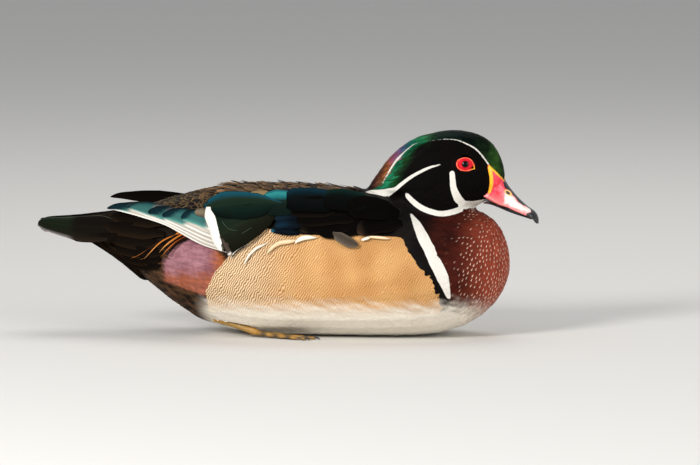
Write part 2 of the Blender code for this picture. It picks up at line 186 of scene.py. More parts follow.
@dataclass(frozen=True)
class SideSheet:
    """The photo's viewing angle, and the flat sheet on which the markings are drawn."""

    azimuth_deg: float = 8.0
    elevation_deg: float = 5.0
    aim: tuple[float, float, float] = (42.5, 0.0, 69.2)
    distance: float = 5000.0
    frame_width: float = 476.0
    start: float = 400.0  # how far out the rays towards the duck begin

    def axes(self) -> tuple[Array, Array, Array]:
        """The view's right, up and towards-the-viewer directions."""
        az, el = math.radians(self.azimuth_deg), math.radians(self.elevation_deg)
        right = np.array([math.cos(az), math.sin(az), 0.0])
        back = np.array([math.sin(az) * math.cos(el), -math.cos(az) * math.cos(el), math.sin(el)])
        return right, np.cross(back, right), back

    def flat(self, points: Array) -> Array:
        """Where points of either side show on the sheet, as x and height in millimetres."""
        right, up, _ = self.axes()
        near = points.copy()
        near[:, 1] = -np.abs(near[:, 1])
        offset = near - np.array(self.aim)
        x = offset @ right / math.cos(math.radians(self.azimuth_deg)) + self.aim[0]
        return np.column_stack([x, offset @ up + self.aim[2]])

    def origins(self, places: Array) -> Array:
        """The points, well in front of the duck, that look at places on the sheet."""
        right, up, back = self.axes()
        aim = np.array(self.aim)
        across = (places[:, :1] - aim[0]) * math.cos(math.radians(self.azimuth_deg))
        return aim + across * right + (places[:, 1:] - aim[2]) * up + self.start * back

    def camera(self) -> bpy.types.Object:
        """Makes the camera at the photo's viewing angle and framing."""
        data = bpy.data.cameras.new("photo_camera")
        data.sensor_width = 36.0
        data.lens = data.sensor_width * self.distance / self.frame_width
        data.clip_end = 100.0
        made = bpy.data.objects.new("photo_camera", data)
        back = Vector(self.axes()[2])
        made.location = (Vector(self.aim) + back * self.distance) * MM
        made.rotation_euler = back.to_track_quat("Z", "Y").to_euler()
        bpy.context.scene.collection.objects.link(made)
        bpy.context.scene.camera = made
        return made


@dataclass(frozen=True)
class FlatSheet:
    """A sheet seen straight from above or below, for the tail."""

    above: bool = True
    start: float = 200.0

    def axes(self) -> tuple[Array, Array, Array]:
        """The sheet's right and up directions, and the way towards the viewer."""
        way = 1.0 if self.above else -1.0
        return np.array([1.0, 0, 0]), np.array([0, way, 0]), np.array([0, 0, way])

    def origins(self, places: Array) -> Array:
        """The points above or below the duck that look at places on the sheet."""
        right, up, back = self.axes()
        return places[:, :1] * right + places[:, 1:] * up + self.start * back


SHEET = SideSheet()


@dataclass(frozen=True)
class Stroke:
    """A marking drawn along a curve on the side sheet, with a half-width at each point."""

    path: tuple[Pair, ...]
    half_widths: tuple[float, ...]
    spans: int = 5

    def gap(self, places: Array) -> Array:
        """How far places are outside the stroke; less than 0 is inside."""
        line = smooth_path(self.path, self.spans)
        stops = np.linspace(0, 1, len(self.path))
        half = np.interp(np.linspace(0, 1, len(line)), stops, self.half_widths)
        least = np.full(len(places), 1e3)
        for i in range(len(line) - 1):
            run = line[i + 1] - line[i]
            share = np.clip((places - line[i]) @ run / max(run @ run, 1e-9), 0, 1)
            away = np.linalg.norm(places - line[i] - share[:, None] * run, axis=1)
            least = np.minimum(least, away - (half[i] + (half[i + 1] - half[i]) * share))
        return least


@dataclass(frozen=True)
class Patch:
    """A marking inside a closed outline on the side sheet."""

    outline: tuple[Pair, ...]

    def gap(self, places: Array) -> Array:
        """How far places are outside the patch; less than 0 is inside."""
        ring = np.array(self.outline + self.outline[:1], float)
        least = np.full(len(places), 1e3)
        inside = np.zeros(len(places), bool)
        x, y = places.T
        for a, b in zip(ring, ring[1:]):
            run = b - a
            share = np.clip((places - a) @ run / max(run @ run, 1e-9), 0, 1)
            least = np.minimum(least, np.linalg.norm(places - a - share[:, None] * run, axis=1))
            if a[1] != b[1]:
                crosses = (a[1] > y) != (b[1] > y)
                inside ^= crosses & (x < a[0] + (y - a[1]) * run[0] / run[1])
        return np.where(inside, -least, least)


# White lines, drawn from the bill backwards or from the top down
CROWN_LINE = ((137.4, 114.8), (133.2, 120.5), (128.4, 125.6), (122.2, 129.1), (115.3, 131.8),
    (107.1, 132.4), (98.2, 131.4), (87.9, 129.8), (84.4, 127.7), (80.3, 124.3), (75.5, 119.5),
    (72.1, 115.1), (68, 108.3), (64.5, 102.2))
EYE_STRIPE = Stroke(((103.9, 115.1), (96.8, 113.1), (90.6, 110.3), (84.4, 106.9), (78.9, 102.9),
    (74.8, 99.5), (68.2, 93.1)), (0.35, 0.8, 0.95, 1.05, 1.15, 1.3, 0.3))
CREST_WEDGE = Patch(((52.5, 96.7), (56.3, 97.9), (64.9, 98.4), (72.1, 99.6), (75.5, 100.8), (68.1, 94),
    (65.8, 93.6), (61, 94.9), (56.3, 95.6)))
CHEEK_PRONG = Stroke(((112.2, 109.2), (112.6, 104), (113.3, 98.8), (116, 92.5), (119.5, 88.8)),
    (1.75, 1.95, 2.15, 2.8, 2.5))
CHIN = Stroke(((119, 88.2), (127, 88.2), (135.2, 90.1)), (2.6, 2.3, 1.7))
COLLAR = Stroke(((122, 87.2), (115.3, 83.9), (105.7, 81.9), (98.2, 83.1), (91.3, 85.9), (86.5, 89.3),
    (82.4, 93.3), (81.2, 95.4)), (2, 1.9, 1.85, 1.85, 1.85, 1.8, 1.6, 0.8))
UPPER_SHOULDER_BAR = Stroke(((83.6, 82.4), (88.2, 74.3), (92.3, 65.5), (96.5, 58), (100.8, 54.6)),
    (0.4, 2.8, 3.8, 3.7, 0.8))
LOWER_SHOULDER_BAR = Stroke(((94.8, 57.2), (100.3, 49), (105.5, 38.5), (109.5, 26)), (2.2, 4.1, 4, 1.5))

HEAD_LEVEL = 84.0  # the head and crest lie above this height, or ahead of HEAD_BACK
HEAD_BACK = 85.0


@dataclass(frozen=True)
class Markings:
    """The drake's markings: what colour each place of skin or feather has."""

    white: tuple[Stroke | Patch, ...] = (
        Stroke(CROWN_LINE[:6], (0.45, 0.5, 0.5, 0.42, 0.24, 0.12)),
        Stroke(CROWN_LINE[5:9], (0.16, 0, 0.1, 0.28)),  # its thin middle
        Stroke(CROWN_LINE[8:], (0.2, 0.35, 0.75, 0.62, 0.45, 0.25)),  # its broad end on the crest
        EYE_STRIPE,
        CREST_WEDGE,
        CHEEK_PRONG,
        CHIN,
        COLLAR,
        UPPER_SHOULDER_BAR,
        LOWER_SHOULDER_BAR,
    )
    head: Patch = Patch(((47, 97), (52, 102), (66, 122), (88, 138), (110, 146), (137, 140), (153, 120),
        (153, 104), (137.5, 90), (130, 87.9), (123.6, 85.8), (115.3, 81.9), (105.7, 79.7), (98.2, 80.9),
        (91, 83.6), (84.5, 87.5), (79, 91.5), (66, 92.5)))
    crown: Patch = Patch(CROWN_LINE + ((60, 98.6), (44, 95), (44, 150), (160, 150), (160, 100),
        (148.4, 103.9)))
    breast: Patch = Patch(((83, 84), (88, 74), (92.3, 65), (98, 55), (101.5, 48.5), (106.5, 37), (111, 24),
        (113, -10), (170, -10), (170, 90), (140, 90), (105, 84)))
    flank: Patch = Patch(((76.2, 66.1), (78.3, 65), (81.7, 57.3), (87.2, 48.5), (97.5, 36.9), (104, 24),
        (104, -10), (-50, -10), (-56, 30), (-49, 43), (-38.5, 54.5), (-32, 62), (-24, 68), (-14, 72),
        (-4, 70), (6, 68), (17.1, 67.5), (33.6, 67.2), (54.2, 67.2)))
    purple: Patch = Patch(((-84.5, 36), (-84.5, 49), (-80.5, 55.5), (-75, 61.5), (-67, 66), (-58, 63),
        (-45, 55), (-41, 47), (-44, 38), (-55, 26)))
    # Colours of the crown by x, from the crest's tip to the forehead
    crown_shades: tuple[tuple[float, str], ...] = ((46, "1c1013"), (58, "2c1a16"), (61, "4e2c22"),
        (64, "6a4024"), (68, "a05c34"), (72, "86464a"), (76, "7c4a6a"), (79, "4c4c70"), (82, "1c5c68"),
        (85, "0c6a56"), (88, "127a4a"), (92, "1a7244"), (97, "15401f"), (104, "0a2014"), (112, "05140f"),
        (119, "030d0b"), (127, "050d08"), (135, "12210f"), (140, "24421c"), (144, "305020"),
        (148, "151c0c"))
    # The upper edge of the folded wing
    wing_top: tuple[Pair, ...] = ((-80, 88), (-58, 91), (-40, 94.5), (-15, 96.5), (8, 97.5), (30, 97.8),
        (52, 97), (68, 94.5), (84, 86))

    @staticmethod
    def up_front(points: Array, places: Array) -> Array:
        """Which points are high or far enough ahead to be the head's."""
        return (points[:, 2] > HEAD_LEVEL) | (places[:, 0] > HEAD_BACK)

    def white_gap(self, points: Array) -> Array:
        """How far points are outside the white lines; less than 0 is inside."""
        places = SHEET.flat(points)
        return np.min([mark.gap(places) for mark in self.white], axis=0)

    def tracts(self, points: Array, normals: Array) -> Array:
        """The number of the tract that each point of the skin belongs to."""
        places = SHEET.flat(points)
        x, height = places.T
        z = points[:, 2]
        out = np.full(len(points), Tract.SCAPULAR.value)
        top = np.interp(x, *np.array(self.wing_top).T)
        out[(height > top) & (x < 72)] = Tract.MANTLE.value
        out[(x < -52) & (height > 77)] = Tract.RUMP.value
        out[((x < -40) & (height <= 72)) | ((x < -52) & (height <= 77))] = Tract.UNDERTAIL.value
        out[self.purple.gap(places) < 0] = Tract.VENT.value
        out[self.flank.gap(places) < 0] = Tract.FLANK.value
        front = (self.breast.gap(places) < 0) | ((x > 74) & (height < 96) & (out != Tract.FLANK.value))
        out[front] = Tract.BREAST.value
        out[front & (height > 70) & (x < 112)] = Tract.NECK.value
        low = (z < 24) & (normals[:, 2] < -0.25) & (x > -52)
        out[low & (x < 118)] = Tract.BELLY.value
        on_head = (self.head.gap(places) < 0) & self.up_front(points, places)
        out[on_head] = Tract.HEAD.value
        out[on_head & (x < 93) & (height > 97) & (height > 97 + (x - 62) * 0.9)] = Tract.CREST.value
        out[on_head & (x > 116) & (height < 128)] = Tract.FACE.value
        return out

    def head_paint(self, points: Array) -> tuple[Array, Array]:
        """Colours and gloss of head, crest and throat, apart from the white lines."""
        places = SHEET.flat(points)
        x, height = places.T
        fine, broad = ripple(points, 2.2, 1), ripple(points, 7.0, 2)
        colour = np.tile(srgb("070504"), (len(points), 1))
        gloss = np.full(len(points), 0.06)
        crown = shades_at(*zip(*self.crown_shades), x + 1.5 * broad + 0.9 * fine)
        crown *= (0.72 + 0.5 * ramp(-1.1, 1.2, fine))[:, None]
        gap = self.crown.gap(places)
        inside = ramp(0.5, -0.5, gap)
        colour, gloss = blend(colour, crown, inside), gloss + inside * 0.42
        reach = np.interp(height, (97, 105, 115, 125, 131), (14.0, 12.0, 9.5, 6.0, 2.5)) + 1.2 * broad
        green = ramp(1, 0.3, gap / reach) * (1 - inside) * ramp(97, 99.5, height - 0.1 * (x - 60))
        above = ramp(-0.5, 2.5, height - np.interp(x, *np.array(EYE_STRIPE.path[::-1]).T))
        rear = blend("143a18", "126444", ramp(0.55, 0.1, gap / reach + 0.12 * fine))
        green *= above * ramp(99, 89, x)
        colour, gloss = blend(colour, rear, green), gloss + green * 0.55
        _, y, z = points.T
        throat = ramp(10.5, 7, np.abs(y)) * ramp(91, 88.5, z) * ramp(98, 104, x)
        colour = blend(colour, "ece5d8", throat)
        return colour, np.clip(gloss, 0, 1)

    def body_paint(self, points: Array) -> tuple[Array, Array]:
        """Colours and gloss of neck and body, apart from the white lines, with painted light and shade on
        the chest.
        """
        places = SHEET.flat(points)
        x, height = places.T
        fine, broad = ripple(points, 3.0, 3), ripple(points, 11.0, 4)
        colour = blend("0b0908", "15120f", ramp(-1, 1, broad))
        gloss = np.full(len(points), 0.12)

        over_wing = height - np.interp(x, *np.array(self.wing_top).T)
        back = ramp(-1, 1.5, over_wing + fine) * ramp(76, 70, x)
        mottled = blend("1a120c", "6c4f33", ramp(-0.9, 1.2, fine + 0.4 * broad))
        colour = blend(colour, mottled, back)
        rump = ramp(-52, -70, x) * back
        colour = blend(colour, "191a14", rump)

        rear = ramp(-38, -48, x) * ramp(76, 72, height)
        dark = blend("17100a", "543a26", ramp(62, 47, height) * ramp(-0.8, 0.8, fine))
        colour = blend(colour, dark, rear)
        lilac = blend("7c4e56", "a07278", ramp(-1, 1, fine * 0.3 + broad * 0.4))
        rust = srgb("a85a2c") * (0.85 + 0.15 * ripple(points, 2.0, 9))[:, None]
        rusty = np.maximum(ramp(-56, -44, x + fine), ramp(46, 37, height + fine) * 0.7)
        lilac = blend(lilac, rust, rusty)
        colour = blend(colour, lilac, ramp(0.8, -1.2, self.purple.gap(places) + 0.5 * fine))

        chest = blend("2a0d08", "42160e", ramp(-1, 1, 0.3 * fine + broad * 0.5))
        # Painted light: the chest's own maroon turns lighter towards the front.
        chest = blend(chest, "9c4632", ramp(112, 146, x))
        # Painted shade: darker back towards the shoulder and up under the collar.
        shade = np.clip(ramp(112, 88, x) * ramp(54, 74, height) + 0.35 * ramp(74, 84, height), 0, 1)
        chest = blend(chest, "110806", shade)
        front = ramp(0.8, -0.8, self.breast.gap(places) + 0.4 * fine)
        colour, gloss = blend(colour, chest, front), np.where(front > 0.5, 0.25, gloss)

        pale = self.paleness(points)
        colour = blend(colour, "e9e0d0", pale)
        return colour, gloss * (1 - pale)

    @staticmethod
    def paleness(points: Array) -> Array:
        """How far places have turned into the white belly."""
        x, _, z = points.T
        low = ramp(31, 16, z + 2.0 * ripple(points, 3.0, 3))
        return low * ramp(-60, -46, x) * ramp(150, 120, x)

    def buff(self, points: Array) -> Array:
        """The flank's colour, and how far inside its outline each point is: 0.5 on it, 1 deep inside."""
        places = SHEET.flat(points)
        colour = blend("b47e44", "c69459", ramp(-1, 1, 0.6 * ripple(points, 14.0, 4)))
        colour = blend(colour, "cca67c", ramp(5, -35, places[:, 0]))
        colour = blend(colour, "e9e0d0", self.paleness(points))
        ragged = 0.2 + 1.1 * ramp(78, 88, places[:, 0])
        inside = np.clip(0.5 - (self.flank.gap(places) + ragged * ripple(points, 2.4, 5)) / 8, 0, 1)
        return np.column_stack([colour, inside])

    def paint(self, points: Array) -> tuple[Array, Array]:
        """Colour and gloss of every point of skin or feather root.

        Args:
            points: Places in millimetres.

        Returns:
            Linear colours, one row per point, and gloss from 0 to 1.
        """
        body, body_gloss = self.body_paint(points)
        head, head_gloss = self.head_paint(points)
        places = SHEET.flat(points)
        share = ramp(0.6, -0.6, self.head.gap(places)) * self.up_front(points, places)
        return blend(body, head, share), body_gloss * (1 - share) + head_gloss * share

    def details(self, points: Array, tract: Array) -> tuple[Array, Array]:
        """How strongly pencilled and how strongly flecked each feather is, from 0 to 1."""
        places = SHEET.flat(points)
        x, height = places.T
        pencil = (0.3 + 0.7 * ramp(45, -35, x)) * ramp(16, 30, points[:, 2])
        pencil = np.minimum(pencil + 0.5 * ramp(58, 66, height) * ramp(10, -15, x), 1)
        chance = ramp(104, 132, x) * (0.55 + 0.45 * ramp(82, 55, height))
        fleck = np.where(tract == Tract.BREAST.value, chance, 0.0)
        return pencil, fleck


def solid_mesh(names: Sequence[str], swell: float) -> bpy.types.Mesh:
    """Gathers solids of the frame into one mesh, each swollen to close the gaps between them.

    Args:
        names: The solids' nodes.
        swell: How far each one is swollen, in millimetres.

    Returns:
        A mesh in metres.
    """
    bm = bmesh.new()
    for name in names:
        bm.from_mesh(FRAME_NODES[name].data)
    bmesh.ops.remove_doubles(bm, verts=bm.verts, dist=1e-6)
    bm.normal_update()
    grown = [v.co + v.normal * swell * MM * min(2.0, v.calc_shell_factor()) for v in bm.verts]
    for vert, place in zip(bm.verts, grown):
        vert.co = place
    mesh = bpy.data.meshes.new("gathered")
    bm.to_mesh(mesh)
    bm.free()
    return mesh


def fused(mesh: bpy.types.Mesh, voxel: float, rounds: int) -> tuple[Array, Array]:
    """Fuses overlapping closed shells into one smooth skin.

    Args:
        mesh: The shells, in metres; it is used up.
        voxel: Size of the remeshed faces in millimetres.
        rounds: How many times the result is smoothed.

    Returns:
        Vertices in millimetres and the faces' four corners.
    """
    holder = bpy.data.objects.new("fusing", mesh)
    bpy.context.scene.collection.objects.link(holder)
    remesh = holder.modifiers.new("remesh", "REMESH")
    remesh.mode = "VOXEL"
    remesh.voxel_size = voxel * MM
    done = holder.evaluated_get(bpy.context.evaluated_depsgraph_get()).to_mesh()
    points = np.empty(len(done.vertices) * 3)
    done.vertices.foreach_get("co", points)
    corners = np.empty(len(done.loops), int)
    done.loops.foreach_get("vertex_index", corners)
    points, quads = points.reshape(-1, 3) / MM, corners.reshape(-1, 4)
    bpy.data.objects.remove(holder)
    bpy.data.meshes.remove(mesh)
    return relaxed(points, quads, rounds), quads


def relaxed(points: Array, quads: Array, rounds: int) -> Array:
    """Points smoothed without shrinking, by steps towards and away from their neighbours."""
    starts = np.concatenate([quads, np.roll(quads, 1, axis=1)]).ravel()
    ends = np.concatenate([np.roll(quads, 1, axis=1), quads]).ravel()
    count = np.bincount(starts, minlength=len(points))[:, None]
    for _ in range(rounds):
        for step in (0.52, -0.54):
            total = [np.bincount(starts, points[ends, i], len(points)) for i in range(3)]
            points = points + step * (np.column_stack(total) / count - points)
    return points


def vertex_normals(points: Array, quads: Array) -> Array:
    """Outward directions at the points of a mesh of four-cornered faces."""
    a, b, c, d = (points[quads[:, i]] for i in range(4))
    face = np.cross(c - a, d - b)
    total = np.column_stack(
        [np.bincount(quads.ravel(), np.repeat(face[:, i], 4), len(points)) for i in range(3)]
    )
    return unit(total)


def sheet_faces(rows: int, columns: int) -> Array:
    """The faces of a thin closed sheet, whose points go row by row on top and then alike below."""
    i, j = np.meshgrid(np.arange(rows - 1), np.arange(columns - 1), indexing="ij")
    a = (i * columns + j).ravel()
    count = rows * columns
    top = np.column_stack([a, a + 1, a + columns + 1, a + columns])
    rim = np.concatenate([
        np.arange(columns),
        np.arange(2, rows) * columns - 1,
        np.arange(count - 1, count - columns - 1, -1),
        np.arange(rows - 2, 0, -1) * columns,
    ])
    after = np.roll(rim, -1)
    walls = np.column_stack([after, rim, rim + count, after + count])
    return np.concatenate([top, top[:, ::-1] + count, walls])


def band_faces(starts: Sequence[int], around: int) -> Array:
    """The faces between loops of points.

    Args:
        starts: The number of each loop's first point, loop by loop.
        around: How many points each loop has.

    Returns:
        The faces' four corners.
    """
    j = np.arange(around)
    after = np.roll(j, -1)
    pairs = zip(starts, starts[1:])
    return np.concatenate([np.column_stack([a + j, b + j, b + after, a + after]) for a, b in pairs])


@dataclass
class MeshParts:
    """Arrays of one mesh: points in millimetres, faces, and what its points carry."""

    points: Array
    quads: Array
    tris: Array = field(default_factory=lambda: np.empty((0, 3), int))
    flat_faces: Array | None = None
    colour: Array | None = None
    marks: Array | None = None
    flank: Array | None = None
    vane: Array | None = None
    bake: Array | None = None

    def build(self, name: str, material: bpy.types.Material) -> bpy.types.Object:
        """Makes the object, with its attributes and UV maps."""
        mesh = bpy.data.meshes.new(name)
        corners = np.concatenate([self.quads.ravel(), self.tris.ravel()]).astype(np.int32)
        first = np.arange(len(self.quads)) * 4
        then = len(self.quads) * 4 + np.arange(len(self.tris)) * 3
        mesh.vertices.add(len(self.points))
        mesh.vertices.foreach_set("co", (self.points * MM).ravel().astype(np.float32))
        mesh.loops.add(len(corners))
        mesh.loops.foreach_set("vertex_index", corners)
        mesh.polygons.add(len(first) + len(then))
        mesh.polygons.foreach_set("loop_start", np.concatenate([first, then]).astype(np.int32))
        mesh.update(calc_edges=True)
        smooth = np.ones(len(mesh.polygons), bool)
        if self.flat_faces is not None:
            smooth = ~self.flat_faces
            edges = np.empty(len(corners), np.int32)
            mesh.loops.foreach_get("edge_index", edges)
            of_smooth = np.repeat(smooth, np.repeat([4, 3], [len(first), len(then)]))
            share = np.bincount(edges, of_smooth) / np.bincount(edges)
            sharp = mesh.attributes.new("sharp_edge", "BOOLEAN", "EDGE")
            sharp.data.foreach_set("value", (share > 0) & (share < 1))
        mesh.polygons.foreach_set("use_smooth", smooth)
        for label, values in (("Plumage", self.colour), ("Marks", self.marks), ("Flank", self.flank)):
            if values is not None:
                store = mesh.attributes.new(label, "FLOAT_COLOR", "POINT")
                store.data.foreach_set("color", values.astype(np.float32).ravel())
        for label, values in (("Vane", self.vane), ("OFBake", self.bake)):
            if values is not None:
                layer = mesh.uv_layers.new(name=label)
                layer.data.foreach_set("uv", values[corners].astype(np.float32).ravel())
        mesh.validate()
        mesh.materials.append(material)
        made = bpy.data.objects.new(name, mesh)
        bpy.context.scene.collection.objects.link(made)
        return made


def joined(parts: Sequence[MeshParts]) -> MeshParts:
    """Several meshes' arrays as one, each with the same kinds of arrays and all of it smooth."""
    shift = np.cumsum([0] + [len(p.points) for p in parts])[:-1]

    def stack(label: str) -> Array | None:
        rows = [getattr(p, label) for p in parts]
        return None if rows[0] is None else np.concatenate(rows)

    return MeshParts(
        stack("points"),
        np.concatenate([p.quads + s for p, s in zip(parts, shift)]),
        np.concatenate([p.tris + s for p, s in zip(parts, shift)]),
        **{label: stack(label) for label in ("colour", "marks", "flank", "vane", "bake")},
    )


class NodeTree:
    """Short ways to add and join shader nodes in a material or a group."""

    def __init__(self, tree: bpy.types.NodeTree) -> None:
        """Keeps the tree that nodes are added to."""
        self.tree = tree

    def add(
        self, kind: str, inputs: dict[int | str, object] | None = None, **settings: object
    ) -> bpy.types.Node:
        """Adds a node, sets its fields, and sets or links its inputs.

        Args:
            kind: The node's type, without "ShaderNode".
            inputs: Values or output sockets, by input name or number.
            **settings: Fields of the node.

        Returns:
            The node.
        """
        node = self.tree.nodes.new("ShaderNode" + kind)
        for label, value in settings.items():
            setattr(node, label, value)
        self.put(node, inputs or {})
        return node

    def put(self, node: bpy.types.Node, inputs: dict[int | str, object]) -> None:
        """Sets or links a node's inputs."""
        for label, value in inputs.items():
            if isinstance(value, bpy.types.NodeSocket):
                self.tree.links.new(value, node.inputs[label])
            else:
                node.inputs[label].default_value = value

    def use(self, group: bpy.types.NodeTree, **inputs: object) -> bpy.types.Node:
        """Places a group and sets or links its inputs, by name."""
        node = self.add("Group", node_tree=group)
        self.put(node, inputs)
        return node

    def math(self, operation: str, *values: object) -> object:
        """The result of a math node."""
        return self.add("Math", dict(enumerate(values)), operation=operation).outputs[0]

    def plus(self, first: object, second: object) -> object:
        """The sum."""
        return self.math("ADD", first, second)

    def minus(self, first: object, second: object) -> object:
        """The difference."""
        return self.math("SUBTRACT", first, second)

    def times(self, first: object, second: object) -> object:
        """The product."""
        return self.math("MULTIPLY", first, second)

    def step(self, value: object, low: float, high: float) -> object:
        """A smooth step of value from 0 at low to 1 at high."""
        limits = {"Value": value, "From Min": low, "From Max": high}
        return self.add("MapRange", limits, interpolation_type="SMOOTHSTEP").outputs[0]

    def mix(self, share: object, first: object, second: object) -> object:
        """The colour that mixes first and second by share."""
        node = self.add("Mix", data_type="RGBA")
        self.put(node, {0: share, 6: first, 7: second})
        return node.outputs[2]

    def stored(self, name: str) -> bpy.types.Node:
        """The node that reads an attribute of the mesh."""
        return self.add("Attribute", attribute_name=name)

    def mark(self, channel: int) -> object:
        """A channel of the Marks attribute: 0 for white, 1 for pencilled, 2 for flecked."""
        return self.add("SeparateColor", {0: self.stored("Marks").outputs["Color"]}).outputs[channel]

    def place(self) -> object:
        """The shaded point in metres."""
        return self.add("TexCoord").outputs["Object"]

    def noise(self, place: object, scale: object, detail: float) -> object:
        """Smooth noise from 0 to 1."""
        return self.add("TexNoise", {"Vector": place, "Scale": scale, "Detail": detail}).outputs[0]


def rgba(code: str) -> tuple[float, float, float, float]:
    """A colour code as a shader colour."""
    return (*srgb(code), 1.0)


def new_material(name: str) -> tuple[bpy.types.Material, NodeTree, bpy.types.Node]:
    """A new material with its node tree and its shader."""
    made = bpy.data.materials.new(name)
    made.use_nodes = True
    return made, NodeTree(made.node_tree), made.node_tree.nodes["Principled BSDF"]


class Effects:
    """Shader node groups that several finishes share, each built once."""

    colour_sockets = ("Colour", "Edge", "Fleck")  # the others carry a number
    fine_grain = 900.0  # scale of the noise that roughens the edges of markings

    def __init__(self) -> None:
        """Builds the groups."""
        self.barbs = self.build_barbs()
        self.white = self.build_white()
        self.flank = self.build_flank()
        self.fleck = self.build_fleck()
        self.rim = self.build_rim()
        self.tone = self.build_tone()
        self.scales = self.build_scales()
        self.made: dict[str, bpy.types.Material] = {}

    def material(self, finish: PlumageFinish | Glossy) -> bpy.types.Material:
        """The material of a finish, built on its first use."""
        if finish.name not in self.made:
            self.made[finish.name] = finish.material(self)
        return self.made[finish.name]

    def group(
        self, name: str, inputs: Sequence[str], outputs: Sequence[str] = ("Colour",)
    ) -> tuple[NodeTree, bpy.types.NodeOutputs, bpy.types.Node]:
        """Starts a group.

        Args:
            name: The group's name.
            inputs: Names of its input sockets.
            outputs: Names of its output sockets.

        Returns:
            The tree, the sockets that hand in its inputs, and the node that takes its outputs.
        """
        tree = bpy.data.node_groups.new(name, "ShaderNodeTree")
        for side, labels in (("INPUT", inputs), ("OUTPUT", outputs)):
            for label in labels:
                kind = "Color" if label in self.colour_sockets else "Float"
                tree.interface.new_socket(label, in_out=side, socket_type="NodeSocket" + kind)
        start = tree.nodes.new("NodeGroupInput")
        end = tree.nodes.new("NodeGroupOutput")
        return NodeTree(tree), start.outputs, end

    @staticmethod
    def across(tree: NodeTree) -> tuple[object, object]:
        """How far out from the shaft and how far along the vane, each from 0 to 1."""
        parts = tree.add("SeparateXYZ", {0: tree.add("UVMap", uv_map="Vane").outputs[0]})
        centred = tree.math("MULTIPLY_ADD", parts.outputs[0], 2.0, -1.0)
        return tree.math("ABSOLUTE", centred), parts.outputs[1]

    def build_barbs(self) -> bpy.types.NodeTree:
        """Fine slanting barbs and a shaft, as a shade and a height."""
        tree, given, end = self.group("Barbs", ("Count", "Slant", "Shaft"), ("Shade", "Height"))
        out, along = self.across(tree)
        slanted = tree.minus(along, tree.times(out, given["Slant"]))
        wave = tree.math("SINE", tree.times(slanted, given["Count"]))
        shaft = tree.times(tree.step(out, 0.09, 0.02), given["Shaft"])
        height = tree.plus(tree.times(wave, 0.5), tree.times(shaft, 3.0))
        shade = tree.plus(tree.times(wave, 0.10), tree.times(shaft, 0.5))
        tree.put(end, {"Shade": tree.plus(shade, 1.0), "Height": height})
        return tree.tree

    def build_white(self) -> bpy.types.NodeTree:
        """White lines where the Marks attribute says so, with a ragged edge."""
        tree, given, end = self.group("White lines", ("Colour", "Ragged"))
        place = tree.place()
        rag = tree.times(tree.minus(tree.noise(place, self.fine_grain, 1.0), 0.5), given["Ragged"])
        mask = tree.step(tree.plus(tree.mark(0), rag), 0.48, 0.52)
        white = tree.mix(tree.noise(place, 260.0, 2.0), rgba("d8d2c6"), rgba("e6e1d7"))
        tree.put(end, {"Colour": tree.mix(mask, given["Colour"], white)})
        return tree.tree

    def build_flank(self) -> bpy.types.NodeTree:
        """The buff flank with fine wavy pencilling, where the Flank and Marks attributes say so."""
        tree, given, end = self.group("Flank", ("Colour",))
        stored = tree.stored("Flank")
        strength = tree.mark(1)
        place = tree.place()
        wobble = tree.times(tree.noise(place, 130.0, 2.0), 16.0)
        ahead, aside = (
            tree.add("VectorMath", {0: place, 1: way}, operation="DOT_PRODUCT").outputs["Value"]
            for way in ((-3300.0, 0.0, 2300.0), (1050.0, 300.0, 1500.0))
        )
        zigzag = tree.math("SINE", tree.plus(aside, wobble))
        wave = tree.math("SINE", tree.plus(tree.plus(ahead, wobble), zigzag))
        dark = tree.mix(tree.step(strength, 0.5, 1.0), rgba("96693a"), rgba("4c3826"))
        line = tree.times(tree.step(wave, 0.0, 0.95), tree.times(strength, 0.8))
        light = tree.times(tree.step(wave, -0.1, -0.95), tree.times(strength, 0.6))
        buff = tree.mix(light, tree.mix(line, stored.outputs["Color"], dark), rgba("f0d9b4"))
        rag = tree.times(tree.minus(tree.noise(place, self.fine_grain, 1.0), 0.5), 0.1)
        mask = tree.step(tree.plus(stored.outputs["Alpha"], rag), 0.47, 0.53)
        tree.put(end, {"Colour": tree.mix(mask, given["Colour"], buff)})
        return tree.tree

    def build_fleck(self) -> bpy.types.NodeTree:
        """A pale drop near a feather's tip, where the Marks attribute is above a level."""
        tree, given, end = self.group("Pale fleck", ("Colour", "Fleck", "Size"))
        out, along = self.across(tree)
        spread = tree.times(tree.minus(along, 0.62), given["Size"])
        inside = tree.step(tree.minus(spread, out), -0.03, 0.06)
        ends = tree.times(tree.step(along, 0.64, 0.7), tree.step(along, 0.93, 0.87))
        mask = tree.times(tree.times(inside, ends), tree.mark(2))
        tree.put(end, {"Colour": tree.mix(mask, given["Colour"], given["Fleck"])})
        return tree.tree

    def build_rim(self) -> bpy.types.NodeTree:
        """A paler or darker edge round each feather."""
        tree, given, end = self.group("Feather edge", ("Colour", "Edge", "Amount"))
        out, along = self.across(tree)
        tip = tree.plus(tree.math("POWER", along, 6.0), tree.math("POWER", out, 4.0))
        mask = tree.times(tree.step(tip, 0.3, 0.9), given["Amount"])
        tree.put(end, {"Colour": tree.mix(mask, given["Colour"], given["Edge"])})
        return tree.tree

    def build_tone(self) -> bpy.types.NodeTree:
        """Lighter and darker feathers, and slow changes over the body."""
        tree, given, end = self.group("Feather tone", ("Colour", "Shade", "Amount"))
        own = tree.plus(tree.stored("Marks").outputs["Alpha"], tree.noise(tree.place(), 70.0, 3.0))
        light = tree.math("MULTIPLY_ADD", tree.minus(own, 1.0), given["Amount"], 1.0)
        shaded = {0: given["Colour"], "Scale": tree.times(light, given["Shade"])}
        scaled = tree.add("VectorMath", shaded, operation="SCALE")
        tree.put(end, {"Colour": scaled.outputs[0]})
        return tree.tree

